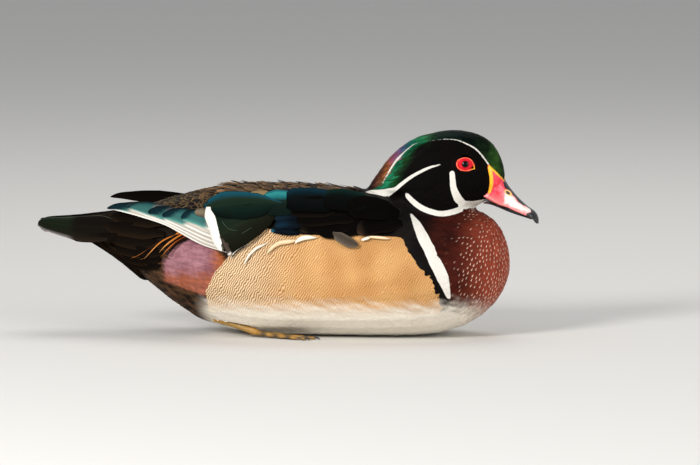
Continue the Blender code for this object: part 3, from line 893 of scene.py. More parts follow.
    def build_scales(self) -> bpy.types.NodeTree:
        """Small plates and grain for horn and bare skin, as a height."""
        tree, given, end = self.group("Scales", ("Scale",), ("Height",))
        place, scale = tree.place(), given["Scale"]
        cells = tree.add("TexVoronoi", {"Vector": place, "Scale": scale}, feature="DISTANCE_TO_EDGE")
        grain = tree.times(tree.noise(place, scale, 4.0), 0.4)
        tree.put(end, {"Height": tree.plus(tree.step(cells.outputs[0], 0.0, 0.2), grain)})
        return tree.tree


@dataclass(frozen=True)
class PlumageFinish:
    """How feathers of one kind look, beyond the colours that they carry."""

    name: str
    rough: float = 0.62
    shine: float = 0.3  # roughness lost where the plumage is glossy
    metal: float = 0.55  # metallic where the plumage is glossy
    barbs: float = 60.0
    slant: float = 0.5
    shaft: float = 0.3
    tone: float = 0.35
    bump: float = 0.25
    edge: str = "000000"
    edge_amount: float = 0.0
    flank: bool = False
    fleck: float = 0.0
    ragged: float = 0.05
    sheen: float = 0.0
    specular: float = 0.05

    def material(self, effects: Effects) -> bpy.types.Material:
        """Builds the material."""
        made, tree, shader = new_material(self.name)
        stored = tree.stored("Plumage")
        barbs = tree.use(effects.barbs, Count=self.barbs, Slant=self.slant, Shaft=self.shaft)
        layers = []
        if self.flank:
            layers.append((effects.flank, {}))
        if self.edge_amount:
            layers.append((effects.rim, {"Edge": rgba(self.edge), "Amount": self.edge_amount}))
        if self.fleck:
            layers.append((effects.fleck, {"Fleck": rgba("dcbfa6"), "Size": self.fleck}))
        colour = stored.outputs["Color"]
        for group, settings in layers:
            colour = tree.use(group, Colour=colour, **settings).outputs[0]
        toned = tree.use(effects.tone, Colour=colour, Shade=barbs.outputs["Shade"], Amount=self.tone)
        marked = tree.use(effects.white, Colour=toned.outputs[0], Ragged=self.ragged)
        relief = {"Height": barbs.outputs["Height"], "Strength": self.bump, "Distance": 0.0001}
        bump = tree.add("Bump", relief)
        tree.put(shader, {
            "Base Color": marked.outputs[0],
            "Roughness": tree.minus(self.rough, tree.times(stored.outputs["Alpha"], self.shine)),
            "Metallic": tree.times(stored.outputs["Alpha"], self.metal),
            "Normal": bump.outputs[0],
            "Sheen Weight": self.sheen,
            "Sheen Roughness": 0.5,
            "Specular IOR Level": self.specular,
        })
        return made


class Finish(Enum):
    """The plumage finishes."""

    SKIN = PlumageFinish("skin", rough=0.8, metal=0.2, shaft=0.0, bump=0.0, flank=True)
    VELVET = PlumageFinish("head_plumage", rough=0.6, metal=0.6, barbs=22, tone=0.5, specular=0.03)
    CREST = PlumageFinish("crest_plumage", rough=0.5, shine=0.2, metal=0.6, barbs=90, tone=0.7)
    BREAST = PlumageFinish("breast_plumage", barbs=50, tone=0.3, fleck=0.85, shaft=0.1, flank=True)
    FLANK = PlumageFinish("flank_plumage", barbs=110, tone=0.06, flank=True, shaft=0.0)
    DOWN = PlumageFinish("belly_plumage", rough=0.75, tone=0.06, flank=True, shaft=0.05, sheen=0.2)
    MANTLE = PlumageFinish("back_plumage", tone=1.0, edge="8c6e4a", edge_amount=0.5)
    SCAPULAR = PlumageFinish("scapular_plumage", rough=0.5, barbs=120, tone=0.4, flank=True)
    REAR = PlumageFinish("rear_plumage", barbs=90, tone=0.3, slant=1.1, shaft=0.1, flank=True)
    QUILL = PlumageFinish(
        "quill_plumage", rough=0.5, shine=0.16, metal=0.5, barbs=420, slant=0.22, tone=0.15, shaft=0.35,
        bump=0.3, specular=0.0,
    )


@dataclass(frozen=True)
class Cut:
    """The size and lie of the feathers of one tract."""

    spacing: float
    length: float
    width: float
    rise: float  # how high the tip stands over the skin
    finish: Finish
    rows: int = 4
    ruffle: float = 0.1
    sink: float = 0.5
    ridge: float = 0.08
    columns: int = 3


CUTS = {
    Tract.FACE: Cut(0.70, 2.4, 1.0, 0.25, Finish.VELVET),
    Tract.HEAD: Cut(0.90, 4.2, 1.2, 0.32, Finish.VELVET),
    Tract.CREST: Cut(0.95, 14.0, 1.2, 0.7, Finish.CREST, rows=7, ruffle=0.25),
    Tract.NECK: Cut(1.6, 7.0, 2.6, 0.4, Finish.BREAST),
    Tract.BREAST: Cut(2.6, 8.5, 4.8, 0.3, Finish.BREAST, rows=7, ridge=0.05, columns=5),
    Tract.FLANK: Cut(3.3, 16.0, 8.0, 0.2, Finish.FLANK, rows=7, ridge=0.05, ruffle=0.0, columns=5),
    Tract.BELLY: Cut(2.8, 10.0, 5.4, 0.22, Finish.DOWN, rows=7, ridge=0.05, ruffle=0.0, columns=5),
    Tract.MANTLE: Cut(3.1, 11.0, 5.4, 1.2, Finish.MANTLE, rows=7, ruffle=0.7),
    Tract.SCAPULAR: Cut(3.4, 15.0, 7.5, 0.3, Finish.SCAPULAR, rows=7, ridge=0.05, columns=5),
    Tract.RUMP: Cut(2.4, 11.0, 4.4, 0.8, Finish.MANTLE, rows=7, ruffle=0.3),
    Tract.VENT: Cut(1.25, 11.0, 1.8, 0.45, Finish.REAR, rows=7, ruffle=0.05),
    Tract.UNDERTAIL: Cut(2.0, 15.0, 3.6, 0.6, Finish.REAR, rows=7, ruffle=0.1),
}
BLENDED = (Tract.CREST, Tract.BREAST, Tract.FLANK, Tract.BELLY, Tract.SCAPULAR, Tract.VENT, Tract.UNDERTAIL)


class Skin:
    """The one skin under the feathers, from the bill's base to the tail's root."""

    voxel: float = 1.3
    swell: float = 0.4
    rounds: int = 9
    depth_body: float = 1.0
    depth_head: float = 0.5
    lowest: float = 0.5  # height of its lowest points over the floor
    tries: int = 6  # places tried for each feather's room

    def __init__(self, markings: Markings) -> None:
        """Fuses the frame's flesh and sinks it by the coat's depth."""
        self.markings = markings
        points, self.quads = fused(solid_mesh(FLESH_NODES, self.swell), self.voxel, self.rounds)
        normals = vertex_normals(points, self.quads)
        head = ramp(2, -6, markings.head.gap(SHEET.flat(points)))
        depth = self.swell + self.depth_body + (self.depth_head - self.depth_body) * head
        self.points = points - normals * depth[:, None]
        self.points[:, 2] = np.maximum(self.points[:, 2], self.lowest)
        self.normals = vertex_normals(self.points, self.quads)
        self.tree = BVHTree.FromPolygons(self.points.tolist(), self.quads.tolist())
        self.centres = self.points[self.quads].mean(axis=1)
        self.face_normals = unit(self.normals[self.quads].mean(axis=1))
        self.tracts = markings.tracts(self.centres, self.face_normals)

    def build(self, effects: Effects, eyes: Sequence["Eye"]) -> bpy.types.Object:
        """Makes the skin's object, painted like the feathers over it and with room for the eyes."""
        colour, gloss = self.markings.paint(self.points)
        white = 0.5 - self.markings.white_gap(self.points) / 8
        blank = np.zeros(len(self.points))
        pencil, _ = self.markings.details(self.points, blank)
        marks = np.column_stack([np.clip(white, 0, 1), pencil, blank, blank + 0.5])
        sunk = self.points + np.sum([eye.socket(self.points) for eye in eyes], axis=0)
        painted, flank = np.column_stack([colour, gloss]), self.markings.buff(self.points)
        parts = MeshParts(sunk, self.quads, colour=painted, marks=marks, flank=flank)
        made = parts.build("skin", effects.material(Finish.SKIN.value))
        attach(made, BODY)
        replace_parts(made, *FLESH_NODES)
        return made

    def nearest(self, points: Array) -> tuple[Array, Array]:
        """The closest places on the skin to points, and its smooth normals there."""
        found = [self.tree.find_nearest(p) for p in points.tolist()]
        places = np.array([f[0][:] for f in found])
        return places, self.face_normals[[f[2] for f in found]]

    def scatter(self, tract: Tract, spacing: float, rng: np.random.Generator) -> tuple[Array, Array]:
        """Evenly strewn places on one tract.

        Args:
            tract: The tract.
            spacing: The least distance between two places, in millimetres.
            rng: Source of the random draws.

        Returns:
            The places and the skin's normals there.
        """
        faces = self.quads[self.tracts == tract.value]
        corners = self.points[faces]
        diagonals = corners[:, 2] - corners[:, 0], corners[:, 3] - corners[:, 1]
        area = np.linalg.norm(np.cross(*diagonals), axis=1) / 2
        pick = np.repeat(np.arange(len(faces)), rng.poisson(area * self.tries / spacing**2))
        a, b = rng.random((2, len(pick), 1))
        c = corners[pick]
        places = (c[:, 0] * (1 - a) + c[:, 1] * a) * (1 - b) + (c[:, 3] * (1 - a) + c[:, 2] * a) * b
        order = rng.permutation(len(places))
        tree = KDTree(len(places))
        for i, place in enumerate(places.tolist()):
            tree.insert(place, i)
        tree.balance()
        free = np.ones(len(places), bool)
        kept = []
        for i in order.tolist():
            if free[i]:
                kept.append(i)
                for _, j, _ in tree.find_range(places[i], spacing):
                    free[j] = False
        normals = unit(self.normals[faces[pick[kept]]].mean(axis=1))
        return places[kept], normals

    @staticmethod
    def unwrap(points: Array) -> Array:
        """Where points lie on an unwrap of the skin: body below, head above, cut along their undersides."""
        x, y, z = points.T

        def rolled(axis_height: float, start: float, length: float, low: float, share: float) -> Array:
            turn = np.arctan2(y, z - axis_height) / (2 * math.pi) + 0.5
            return np.column_stack([turn, low + (x - start) / length * share])

        on_head = (z > HEAD_LEVEL) & (x > 48)
        head, body = rolled(104, 48, 110, 0.62, 0.36), rolled(50, -180, 350, 0, 0.6)
        return np.clip(np.where(on_head[:, None], head, body), 0.004, 0.996)


class Coat:
    """The small feathers: closed vanes that follow the skin, tract by tract."""

    patch: float = 0.003  # size of a feather's patch on the bake map
    hugging: float = 2.4  # feathers wider than this bend round the body
    body_end: tuple[float, float, float] = (-190.0, 0.0, 72.0)
    crest_end: tuple[float, float, float] = (38.0, 0.0, 88.0)
    bill_base: tuple[float, float, float] = (156.0, 0.0, 98.0)
    floor_gap: float = 0.12  # the least height of a vane's points
    pressed: float = 0.5  # depth over which points below it are pressed together on it
    outlines = {  # shares of a vane's length and its widths there, by number of rows
        4: ((0.0, 0.45, 0.8, 1.0), (0.4, 1.0, 0.8, 0.0)),
        7: ((0.0, 0.22, 0.5, 0.74, 0.89, 0.97, 1.0), (0.35, 0.75, 1.0, 0.95, 0.72, 0.4, 0.0)),
    }
    narrow = (0.35, 0.8, 1.0, 0.85, 0.55, 0.25, 0.0)  # widths of a vane under a third as wide as long

    def __init__(self, skin: Skin, markings: Markings, bare: Callable[[Array], Array]) -> None:
        """Keeps what the feathers grow on.

        Args:
            skin: The skin.
            markings: The markings.
            bare: Says which places stay free of feathers.
        """
        self.skin = skin
        self.markings = markings
        self.bare = bare

    def lie(self, points: Array, normals: Array) -> Array:
        """The way that feathers point at places on the skin."""
        x, _, z = points.T
        way = unit(np.array(self.body_end) - points)
        front = ramp(84, 128, x) * ramp(100, 84, z)
        way = blend(way, unit(np.array([-0.6, 0.0, -1.0])), front * 0.85)
        places = SHEET.flat(points)
        on_head = ramp(1.5, -1.5, self.markings.head.gap(places)) * ((z > HEAD_LEVEL) | (x > HEAD_BACK))
        away = unit(points - np.array(self.bill_base))
        sweep = unit(np.array(self.crest_end) - points)
        down = ramp(100, 86, z) * 0.5
        over = blend(away, sweep, ramp(140, 96, x)) - down[:, None] * np.array([0.0, 0.0, 1.0])
        way = blend(way, unit(over), on_head)
        return unit(way - (way * normals).sum(axis=1, keepdims=True) * normals)

    def walk(self, place: Array, up: Array, way: Array, far: Array) -> tuple[Array, Array, Array]:
        """Steps along the skin, and turns the outward and forward directions with it."""
        place, fresh = self.skin.nearest(place + way * far)
        up = unit(up + 1.5 * fresh)
        return place, up, unit(way - (way * up).sum(axis=1, keepdims=True) * up)

    def grow(
        self, anchors: Array, normals: Array, cut: Cut, rng: np.random.Generator
    ) -> tuple[Array, Array, Array]:
        """Centre lines of feathers laid along the skin.

        Args:
            anchors: Where their outer parts show.
            normals: The skin's normals there.
            cut: Their size.
            rng: Source of the random draws.

        Returns:
            Rows of centre points, outward directions and sideways directions, from root to tip.
        """
        steps, _ = self.outlines[cut.rows]
        size = cut.length * rng.uniform(0.86, 1.14, (len(anchors), 1))
        turn = rng.normal(0, 0.06 + 0.15 * cut.ruffle, (len(anchors), 1))
        lift = np.maximum(1 + cut.ruffle * rng.normal(0, 0.6, (len(anchors), 1)), 0.2)
        middle = len(steps) // 2
        way = self.lie(anchors, normals)
        first = (anchors, normals, unit(way + turn * np.cross(normals, way)))
        rows = {middle: first}
        for order in (range(middle, 0, -1), range(middle, len(steps) - 1)):
            state = first
            for i in order:
                j = i - 1 if order.step < 0 else i + 1
                state = self.walk(*state, size * (steps[j] - steps[i]))
                rows[j] = state
        centres, ups, sides = [], [], []
        for i, step in enumerate(steps):
            place, up, way = rows[i]
            centres.append(place + up * (-cut.sink + (cut.rise + cut.sink) * step**0.7 * lift))
            ups.append(up)
            sides.append(np.cross(up, way))
        return np.array(centres), np.array(ups), np.array(sides)

    def hugged(self, edge: Array, middle: Array) -> Array:
        """Edge points moved to stand as high over the skin as the middle does."""
        flat_edge, flat_middle = edge.reshape(-1, 3), middle.reshape(-1, 3)
        place, up = self.skin.nearest(flat_edge)
        ground, middle_up = self.skin.nearest(flat_middle)
        height = ((flat_middle - ground) * middle_up).sum(axis=1, keepdims=True)
        return (place + up * height).reshape(edge.shape)

    def vanes(self, tract: Tract, cut: Cut, rng: np.random.Generator) -> MeshParts:
        """All feathers of one tract as arrays."""
        roots, normals = self.skin.scatter(tract, cut.spacing, rng)
        free = ~self.bare(roots)
        roots, normals = roots[free], normals[free]
        centres, ups, sides = self.grow(roots, normals, cut, rng)
        clear = ~(self.bare(centres[-1]) | self.bare(centres[0]))
        roots, normals = roots[clear], normals[clear]
        centres, ups, sides = centres[:, clear], ups[:, clear], sides[:, clear]
        steps, widths = self.outlines[cut.rows]
        if len(widths) == len(self.narrow) and cut.width < 0.35 * cut.length:
            widths = self.narrow
        count, rows, columns = len(roots), len(steps) - 1, cut.columns
        broad = np.array(widths[:-1])[:, None, None] * cut.width / 2 * rng.uniform(0.88, 1.12, (count, 1))
        across = np.linspace(-1, 1, columns)
        lines = []
        for reach in across:
            line = centres[:-1] - sides[:-1] * broad * reach
            if reach and cut.width > self.hugging:
                line = self.hugged(line, centres[:-1])
            lines.append(line + ups[:-1] * cut.ridge * cut.width / 2 * (1 - abs(reach)))
        body = np.stack(lines, axis=1).transpose(2, 0, 1, 3).reshape(count, rows * columns, 3)
        points = np.concatenate([body, centres[-1][:, None]], axis=1)
        over = points[..., 2] - self.floor_gap - self.pressed
        near_floor = self.floor_gap + self.pressed * np.exp(np.minimum(over, 0) / self.pressed)
        points[..., 2] = np.where(over < 0, near_floor, points[..., 2])

        quads, tris, flats = self.faces(rows, columns)
        size = rows * columns + 1
        base = np.arange(count)[:, None, None] * size
        flat = points.reshape(-1, 3)
        if tract in BLENDED:
            stray = rng.normal(0, 1, roots.shape) * np.array([1.3, 0.0, 0.3]) * (tract is Tract.CREST)
            strayed = flat + np.repeat(stray, size, axis=0)
            colour = np.column_stack(self.markings.paint(strayed))
        else:
            colour = np.repeat(np.column_stack(self.markings.paint(roots)), size, axis=0)
        pencil, _ = self.markings.details(flat, np.zeros(len(flat)))
        _, fleck = self.markings.details(roots, np.full(count, tract.value))
        fleck = fleck * (rng.random(count) < 0.25 + 0.75 * fleck)
        white = np.clip(0.5 - self.markings.white_gap(flat) / 8, 0, 1)
        tone = rng.random(count)
        marks = np.column_stack([white, pencil, np.repeat(fleck, size), np.repeat(tone, size)])
        vane = np.column_stack([
            np.append(np.tile((across + 1) / 2, rows), 0.5), np.append(np.repeat(steps[:-1], columns), 1.0)
        ])
        bake = Skin.unwrap(roots)[:, None] + (vane - 0.5) * self.patch
        return MeshParts(
            flat,
            (quads + base).reshape(-1, 4),
            (tris + base).reshape(-1, 3),
            flat_faces=np.concatenate([np.tile(kind, count) for kind in flats]),
            colour=colour,
            marks=marks,
            flank=self.markings.buff(flat),
            vane=np.tile(vane, (count, 1)),
            bake=bake.reshape(-1, 2),
        )

    @staticmethod
    def faces(rows: int, columns: int) -> tuple[Array, Array, tuple[Array, Array]]:
        """Faces of one closed vane: rows of points across, then a tip; the flat ones are underneath."""
        n = columns
        quads, quad_flats = [], []
        for row in range(rows - 1):
            a, b = row * n, row * n + n
            quads += [[a + i, a + i + 1, b + i + 1, b + i] for i in range(n - 1)]
            quads.append([a + n - 1, a, b, b + n - 1])
            quad_flats += [False] * (n - 1) + [True]
        last, tip = (rows - 1) * n, rows * n
        tris = [[last + i, last + i + 1, tip] for i in range(n - 1)] + [[last + n - 1, last, tip]]
        tris += [[0, i + 1, i] for i in range(1, n - 1)]
        tri_flats = [False] * (n - 1) + [True] * (n - 1)
        return np.array(quads), np.array(tris), (np.array(quad_flats), np.array(tri_flats))

    def build(self, effects: Effects, rng: np.random.Generator) -> None:
        """Lays every tract and makes one piece of each."""
        for tract, cut in CUTS.items():
            parts = self.vanes(tract, cut, rng)
            piece = parts.build(f"coat_{tract.name.lower()}", effects.material(cut.finish.value))
            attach(piece, BODY)
            LOG.info("%s: %d triangles", piece.name, 2 * len(parts.quads) + len(parts.tris))


@dataclass(frozen=True)
class Dye:
    """Colours of a large feather from its lower edge (-1) to its upper edge (1), by its root and tip."""

    root: tuple[tuple[float, str], ...]
    tip: tuple[tuple[float, str], ...] = ()
    change: Pair = (0.5, 0.7)
    gloss: float = 0.03
    # colour of the underside, near black on every feather, pale ones too: partly the dark feathers' own
    # colour, partly painted shade
    under: str = "17120e"
    fringe: str = ""  # colour of the upper edge and the end
    end: str = ""  # colour of the tip's upper part
    end_from: Pair = (0.84, 0.91)
    slant: float = 0.1

    def paint(self, along: Array, across: Array) -> Array:
        """Colour and gloss at places on the feather."""
        root, tip = (shades_at(*zip(*stops), across) for stops in (self.root, self.tip or self.root))
        mixed = blend(root, tip, ramp(*self.change, along))
        if self.end:
            mixed = blend(mixed, srgb(self.end), ramp(*self.end_from, along + self.slant * across))
        if self.fringe:
            rim = np.maximum(ramp(0.55, 0.95, across), ramp(0.955, 0.985, along))
            mixed = blend(mixed, srgb(self.fringe), rim * 0.9)
        return np.concatenate([mixed, np.full((*along.shape, 1), self.gloss)], axis=-1)


@dataclass(frozen=True)
class Quill:
    """One large feather: its shaft on a sheet, root first, and its reach to each side of it."""

    shaft: tuple[Pair, ...]
    above: tuple[float, ...]
    below: tuple[float, ...]
    dye: Dye
    layer: float = 0.9
    blunt: float = 0.2  # share of the length in which the end rounds off
    square: float = 2.0  # 2 for a round end, more for a squarer one
    dive: float = 1.2  # how far the root goes under
    rise: float = 0.3  # how far the tip stands up


class Carrier:
    """Frame solids that large feathers lie on, met by rays from a sheet."""

    reach: float = 0.8  # how far from the solids a feather's middle may be
    span: float = 30.0  # unit of length in the fitted surface
    beneath: float = 88.0  # percentage of the hits that the surface has to clear

    def __init__(self, names: Sequence[str], sheet: SideSheet | FlatSheet) -> None:
        """Gathers the solids."""
        bm = bmesh.new()
        for name in names:
            bm.from_mesh(FRAME_NODES[name].data)
        bmesh.ops.scale(bm, vec=Vector((1, 1, 1)) / MM, verts=bm.verts)
        self.tree = BVHTree.FromBMesh(bm)
        self.sheet = sheet
        bm.free()

    def fitted(self, places: Array) -> Callable[[Array], Array]:
        """A smooth surface just over the solids around places on the sheet.

        Args:
            places: Places on the sheet that the feather covers.

        Returns:
            A function from places on the sheet to points in space.
        """
        back = self.sheet.axes()[2]
        way = Vector(-back)
        hits = [self.tree.ray_cast(Vector(o), way)[3] for o in self.sheet.origins(places)]
        found = np.array([h is not None for h in hits])
        depth = np.array([h for h in hits if h is not None])
        centre = places[found].mean(axis=0)

        def terms(at: Array) -> Array:
            x, y = ((at - centre) / self.span).T
            return np.column_stack([np.ones(len(x)), x, y, x * x, x * y, y * y])

        table = terms(places[found])
        hold = np.diag([0, 1e-3, 1e-3, 0.02, 0.02, 0.02]) * len(table)
        fit = np.linalg.solve(table.T @ table + hold, table.T @ depth)
        fit[0] -= max(0.0, float(np.percentile(table @ fit - depth, self.beneath)))
        return lambda at: self.sheet.origins(at) - (terms(at) @ fit)[:, None] * back

    def held(self, points: Array) -> Array:
        """Points brought back to within a reach of the solids."""
        near = np.array([self.tree.find_nearest(p)[0][:] for p in points.tolist()])
        away = points - near
        far = np.linalg.norm(away, axis=1, keepdims=True)
        return near + away * np.minimum(1, self.reach / np.maximum(far, 1e-6))


class QuillSet:
    """Large feathers of one side, each a thin closed blade with a raised shaft."""

    across = np.array([-1.0, -0.93, -0.72, -0.4, -0.09, 0.0, 0.09, 0.4, 0.72, 0.93, 1.0])
    thickness = 0.26
    pitch = 1.5  # distance between rows of points, in millimetres
    far_tip = (-34, -88.5)  # x from which the left wing's end is moved, and the run to its tip
    far_shift = (-2.3, 0.0, 5.5)  # how far the left wing's tip is moved

    def __init__(self, name: str, quills: Sequence[Quill], carrier: Carrier, drop: float = 0.0) -> None:
        """Keeps the feathers, from the lowest layer to the top one, and how far all of them are lowered."""
        self.name = name
        self.quills = quills
        self.carrier = carrier
        self.drop = drop

    def blade(self, quill: Quill, rng: np.random.Generator) -> MeshParts:
        """One feather's arrays."""
        path = smooth_path(quill.shaft, 8)
        lengths = np.append(0, np.cumsum(np.linalg.norm(np.diff(path, axis=0), axis=1)))
        rows = max(8, int(lengths[-1] / self.pitch))
        along = 1 - (1 - np.linspace(0, 1, rows)) ** 1.25
        shaft = np.column_stack([np.interp(along * lengths[-1], lengths, path[:, i]) for i in range(2)])
        ahead = unit(np.gradient(shaft, axis=0))
        sideways = np.column_stack([ahead[:, 1], -ahead[:, 0]])
        sideways *= np.sign(sideways[len(sideways) // 2, 1])
        near_end = np.clip((along - (1 - quill.blunt)) / quill.blunt, 0, 1)
        rounded = np.maximum(1 - near_end**quill.square, 0.001) ** (1 / quill.square)
        width = (0.45 + 0.55 * ramp(0, 0.3, along)) * rounded
        reach = [np.interp(along, np.linspace(0, 1, len(v)), v) * width for v in (quill.below, quill.above)]
        s = self.across[None, :]
        t = np.broadcast_to(along[:, None], (rows, s.size))
        out = np.where(s < 0, reach[0][:, None], reach[1][:, None]) * s
        places = (shaft[:, None] + out[..., None] * sideways[:, None]).reshape(-1, 2)
        spot = self.carrier.held(self.carrier.fitted(places)(places))
        grid = spot.reshape(rows, -1, 3)
        up = unit(np.cross(np.gradient(grid, axis=0), np.gradient(grid, axis=1)).reshape(-1, 3))
        up *= np.sign((up @ self.carrier.sheet.axes()[2]).sum())
        height = quill.layer - self.drop - quill.dive * ramp(0.25, 0, t) + quill.rise * t - 0.12 * s**2
        shaft_ridge = 0.1 * (np.abs(s) < 0.05) * (1 - t)
        half = self.thickness / 2 * np.maximum(1 - s**4, 0.25)
        top = spot + up * (height + half + shaft_ridge).reshape(-1, 1)
        low = spot + up * (height - half).reshape(-1, 1)
        colour = quill.dye.paint(t, np.broadcast_to(s, t.shape)).reshape(-1, 4)
        # Undersides take the dye's under colour: painted shade where the feather itself is pale.
        under = np.tile(np.append(srgb(quill.dye.under), 0.1), (len(colour), 1))
        tone = rng.random()
        marks = np.tile([0.0, 0.0, 0.0, tone], (2 * len(colour), 1))
        vane = np.column_stack([(np.broadcast_to(s, t.shape).ravel() + 1) / 2, t.ravel()])
        quads = sheet_faces(rows, len(self.across))
        a, b, c, d = (top[quads[len(self.across) // 2, i]] for i in range(4))
        if np.cross(c - a, d - b) @ self.carrier.sheet.axes()[2] < 0:
            quads = quads[:, ::-1]
        vane = np.tile(vane, (2, 1))
        return MeshParts(
            np.concatenate([top, low]),
            quads,
            colour=np.concatenate([colour, under]),
            marks=marks,
            vane=vane,
            bake=vane.copy(),
        )

    def build(self, side: Side, effects: Effects, lifted: bool = False) -> bpy.types.Object:
        """Makes the set's piece for one side.

        Args:
            side: The duck's side; the sheet is that of the right one.
            effects: The shared shader groups.
            lifted: Whether the wing's end lies as high as the frame's left one.

        Returns:
            The piece.
        """
        rng = np.random.default_rng(SEED + len(self.quills))
        parts = [self.blade(quill, rng) for quill in self.quills]
        columns = math.ceil(math.sqrt(len(parts)))
        for i, part in enumerate(parts):
            corner = np.array([i % columns, i // columns]) / columns
            half = len(part.bake) // 2
            squeezed = part.bake * np.array([0.44, 0.92]) + np.array([0.02, 0.04])
            squeezed[half:, 0] += 0.5
            part.bake = corner + squeezed / columns
        whole = joined(parts)
        if side is Side.LEFT:
            if lifted:
                start, run = self.far_tip
                share = np.clip((whole.points[:, 0] - start) / run, 0, 1)
                whole.points += share[:, None] * np.array(self.far_shift)
            whole.points[:, 1] *= -1
            whole.quads = whole.quads[:, ::-1]
        piece = whole.build(f"{self.name}_{side.label}", effects.material(Finish.QUILL.value))
        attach(piece, BODY)
        LOG.info("%s: %d triangles", piece.name, 2 * len(whole.quads))
        return piece


def plain(*codes: str) -> tuple[tuple[float, str], ...]:
    """Colours evenly spaced from a feather's lower to its upper edge."""
    return tuple(zip(np.linspace(-1, 1, len(codes)).tolist(), codes))


SILVER = plain("ece6dc", "e4ddd1", "857c70", "d0c9bc", "7d756a", "787266")
EDGED_TEAL = ((-1, "e0dbd0"), (-0.5, "d2d3c8"), (-0.3, "548c84"), (0.1, "365f5a"), (1, "32605f"))
TEAL = ((-1, "7fa79a"), (-0.75, "4a857c"), (0, "365f5a"), (0.6, "32605f"), (1, "10262c"))
GREYED = plain("4a4036", "6f6250", "746754", "4c4234")
BLACKISH = plain("0a0807", "080706", "0b0908")


def even(shaft: tuple[Pair, ...], half: tuple[float, ...], dye: Dye, layer: float, **ends: float) -> Quill:
    """A feather that reaches equally far to both sides of its shaft."""
    return Quill(shaft, half, half, dye, layer, **ends)


def primary(
    shaft: tuple[Pair, ...],
    above: tuple[float, ...],
    below: tuple[float, ...],
    layer: float,
    change: Pair,
    tip: tuple[tuple[float, str], ...] = TEAL,
    end_from: Pair = (0.84, 0.91),
) -> Quill:
    """A flight feather: silvery outer web, teal end that turns navy.

    Args:
        shaft: Its line on the side sheet, root first.
        above: Its reach above the shaft.
        below: Its reach below the shaft.
        layer: Its height over the solids.
        change: Shares of its length between which silver turns to the tip's colours.
        tip: The tip's colours.
        end_from: Shares of its length between which they turn navy.

    Returns:
        The feather.
    """
    dye = Dye(SILVER, tip, change, gloss=0.12, fringe="0a161a", end="10242a", end_from=end_from)
    return Quill(shaft, above, below, dye, layer, blunt=0.1, dive=0.4, rise=0.2)


PRIMARIES = (
    primary(((-38, 55.4), (-56.3, 61.9), (-72.4, 70.2), (-83.5, 76), (-100.6, 81.6), (-116, 85),
        (-124.6, 85.6)), (7, 8, 9, 10, 11.5, 9.8, 6.4, 2), (2.3, 2.2, 2, 1.8, 1.9, 2, 1.6, 0.9), 0.2,
        (0.8, 0.85), EDGED_TEAL),
    primary(((-38, 57.8), (-56.3, 64.3), (-72.4, 72.1), (-83.5, 77.5), (-98, 82.6), (-105.5, 85),
        (-110.6, 86)), (7, 8, 9, 10, 10, 8, 2.2), (2.2, 2.1, 1.8, 1.8, 1.9, 2.2, 1.6), 0.55, (0.74, 0.79),
        EDGED_TEAL, (0.97, 1.05)),
    primary(((-38, 60.4), (-56.3, 67), (-72.4, 74.2), (-82, 78.6), (-90, 81.7), (-95.4, 83.1)),
        (8, 9, 9, 9, 8.2, 3), (2.2, 2.2, 1.9, 1.8, 2.2, 2.2), 0.9, (0.76, 0.82)),
    primary(((-38, 63.4), (-56.3, 69.8), (-68, 75.2), (-77, 78.6), (-85.3, 80.8)), (8, 9, 9.5, 8.8, 3),
        (2.2, 2.2, 2, 2.3, 2.2), 1.25, (0.62, 0.7)),
    primary(((-38, 67), (-52, 72.5), (-62, 76.6), (-72.2, 79.4)), (8, 9.5, 9, 3.5), (2.4, 2.4, 2.4, 2.2),
        1.6, (0.4, 0.55)),
    Quill(((-48, 80), (-54, 81.2), (-58.5, 81.8), (-62.8, 82)), (3.2, 3.4, 3.2, 2), (3.2, 3.2, 3, 2),
        Dye(GREYED), 2.3, blunt=0.14, square=3),
)


SECONDARIES = (
    even(((-53.2, 85.2), (-53.2, 82), (-51, 75.8), (-48.9, 69.3), (-46.6, 62.8), (-43.8, 56.8)),
        (3.6, 3.7, 3.2, 2.8, 2.3, 1.4), Dye(plain("d6d0c4", "e6e1d7", "eae5db", "dedace"), gloss=0), 4.2,
        blunt=0.12, dive=0.2, rise=0),
    even(((-45.2, 66.6), (-43.2, 62.8), (-40.9, 58.4), (-38.4, 54)), (0.5, 1.4, 1.8, 1.3),
        Dye(plain("2e2620", "4a4037", "3a3029"), plain("d9d3ca", "ddd7cd"), (0.82, 0.9), gloss=0), 4.1,
        dive=0.3, rise=0),
)

GREEN = plain("12120c", "16170f", "1a2016", "19231a", "101c14")
TOP_BLUE = ((-1, "0a110e"), (-0.5, "0e1d18"), (0.1, "18261c"), (0.44, "1d2c20"), (0.5, "3c4a40"),
    (0.56, "12303a"), (0.72, "154450"), (0.9, "1c5660"), (1, "0e2a30"))


def hairline(shaft: tuple[Pair, ...], layer: float) -> Quill:
    """A parting between the barbs of a feather, which shows as a fine pale line."""
    return even(shaft, (0.16,) * 3, Dye(plain("4c5a4e"), gloss=0), layer, dive=0.1, rise=0)


TERTIALS = (
    Quill(((-3, 87), (-11.2, 84.2), (-22.1, 79), (-33.1, 73.6), (-46.2, 66.6)), (4, 7, 10.5, 12.5, 12),
        (6, 9.5, 12.8, 13.8, 13.6), Dye(GREEN, gloss=0.12), 2.9, blunt=0.1, square=4),
    Quill(((-3.5, 87.7), (-16.7, 87.6), (-33.1, 86.6), (-46.2, 84.6), (-55.8, 82.8)),
        (3, 5.4, 8.6, 10.2, 6.6), (5, 8, 9.4, 7.4, 1.6), Dye(TOP_BLUE, gloss=0.15), 3.4, blunt=0.13,
        square=2.6),
    hairline(((-26, 90.8), (-31, 89.6), (-36, 88), (-41.5, 85.8)), 4.3),
    hairline(((-33, 70.2), (-38.6, 70.9), (-42.5, 74.2), (-44.2, 77.2)), 3.8),
    hairline(((-23.8, 73), (-27.6, 70.6), (-31.6, 68)), 3.8),
)

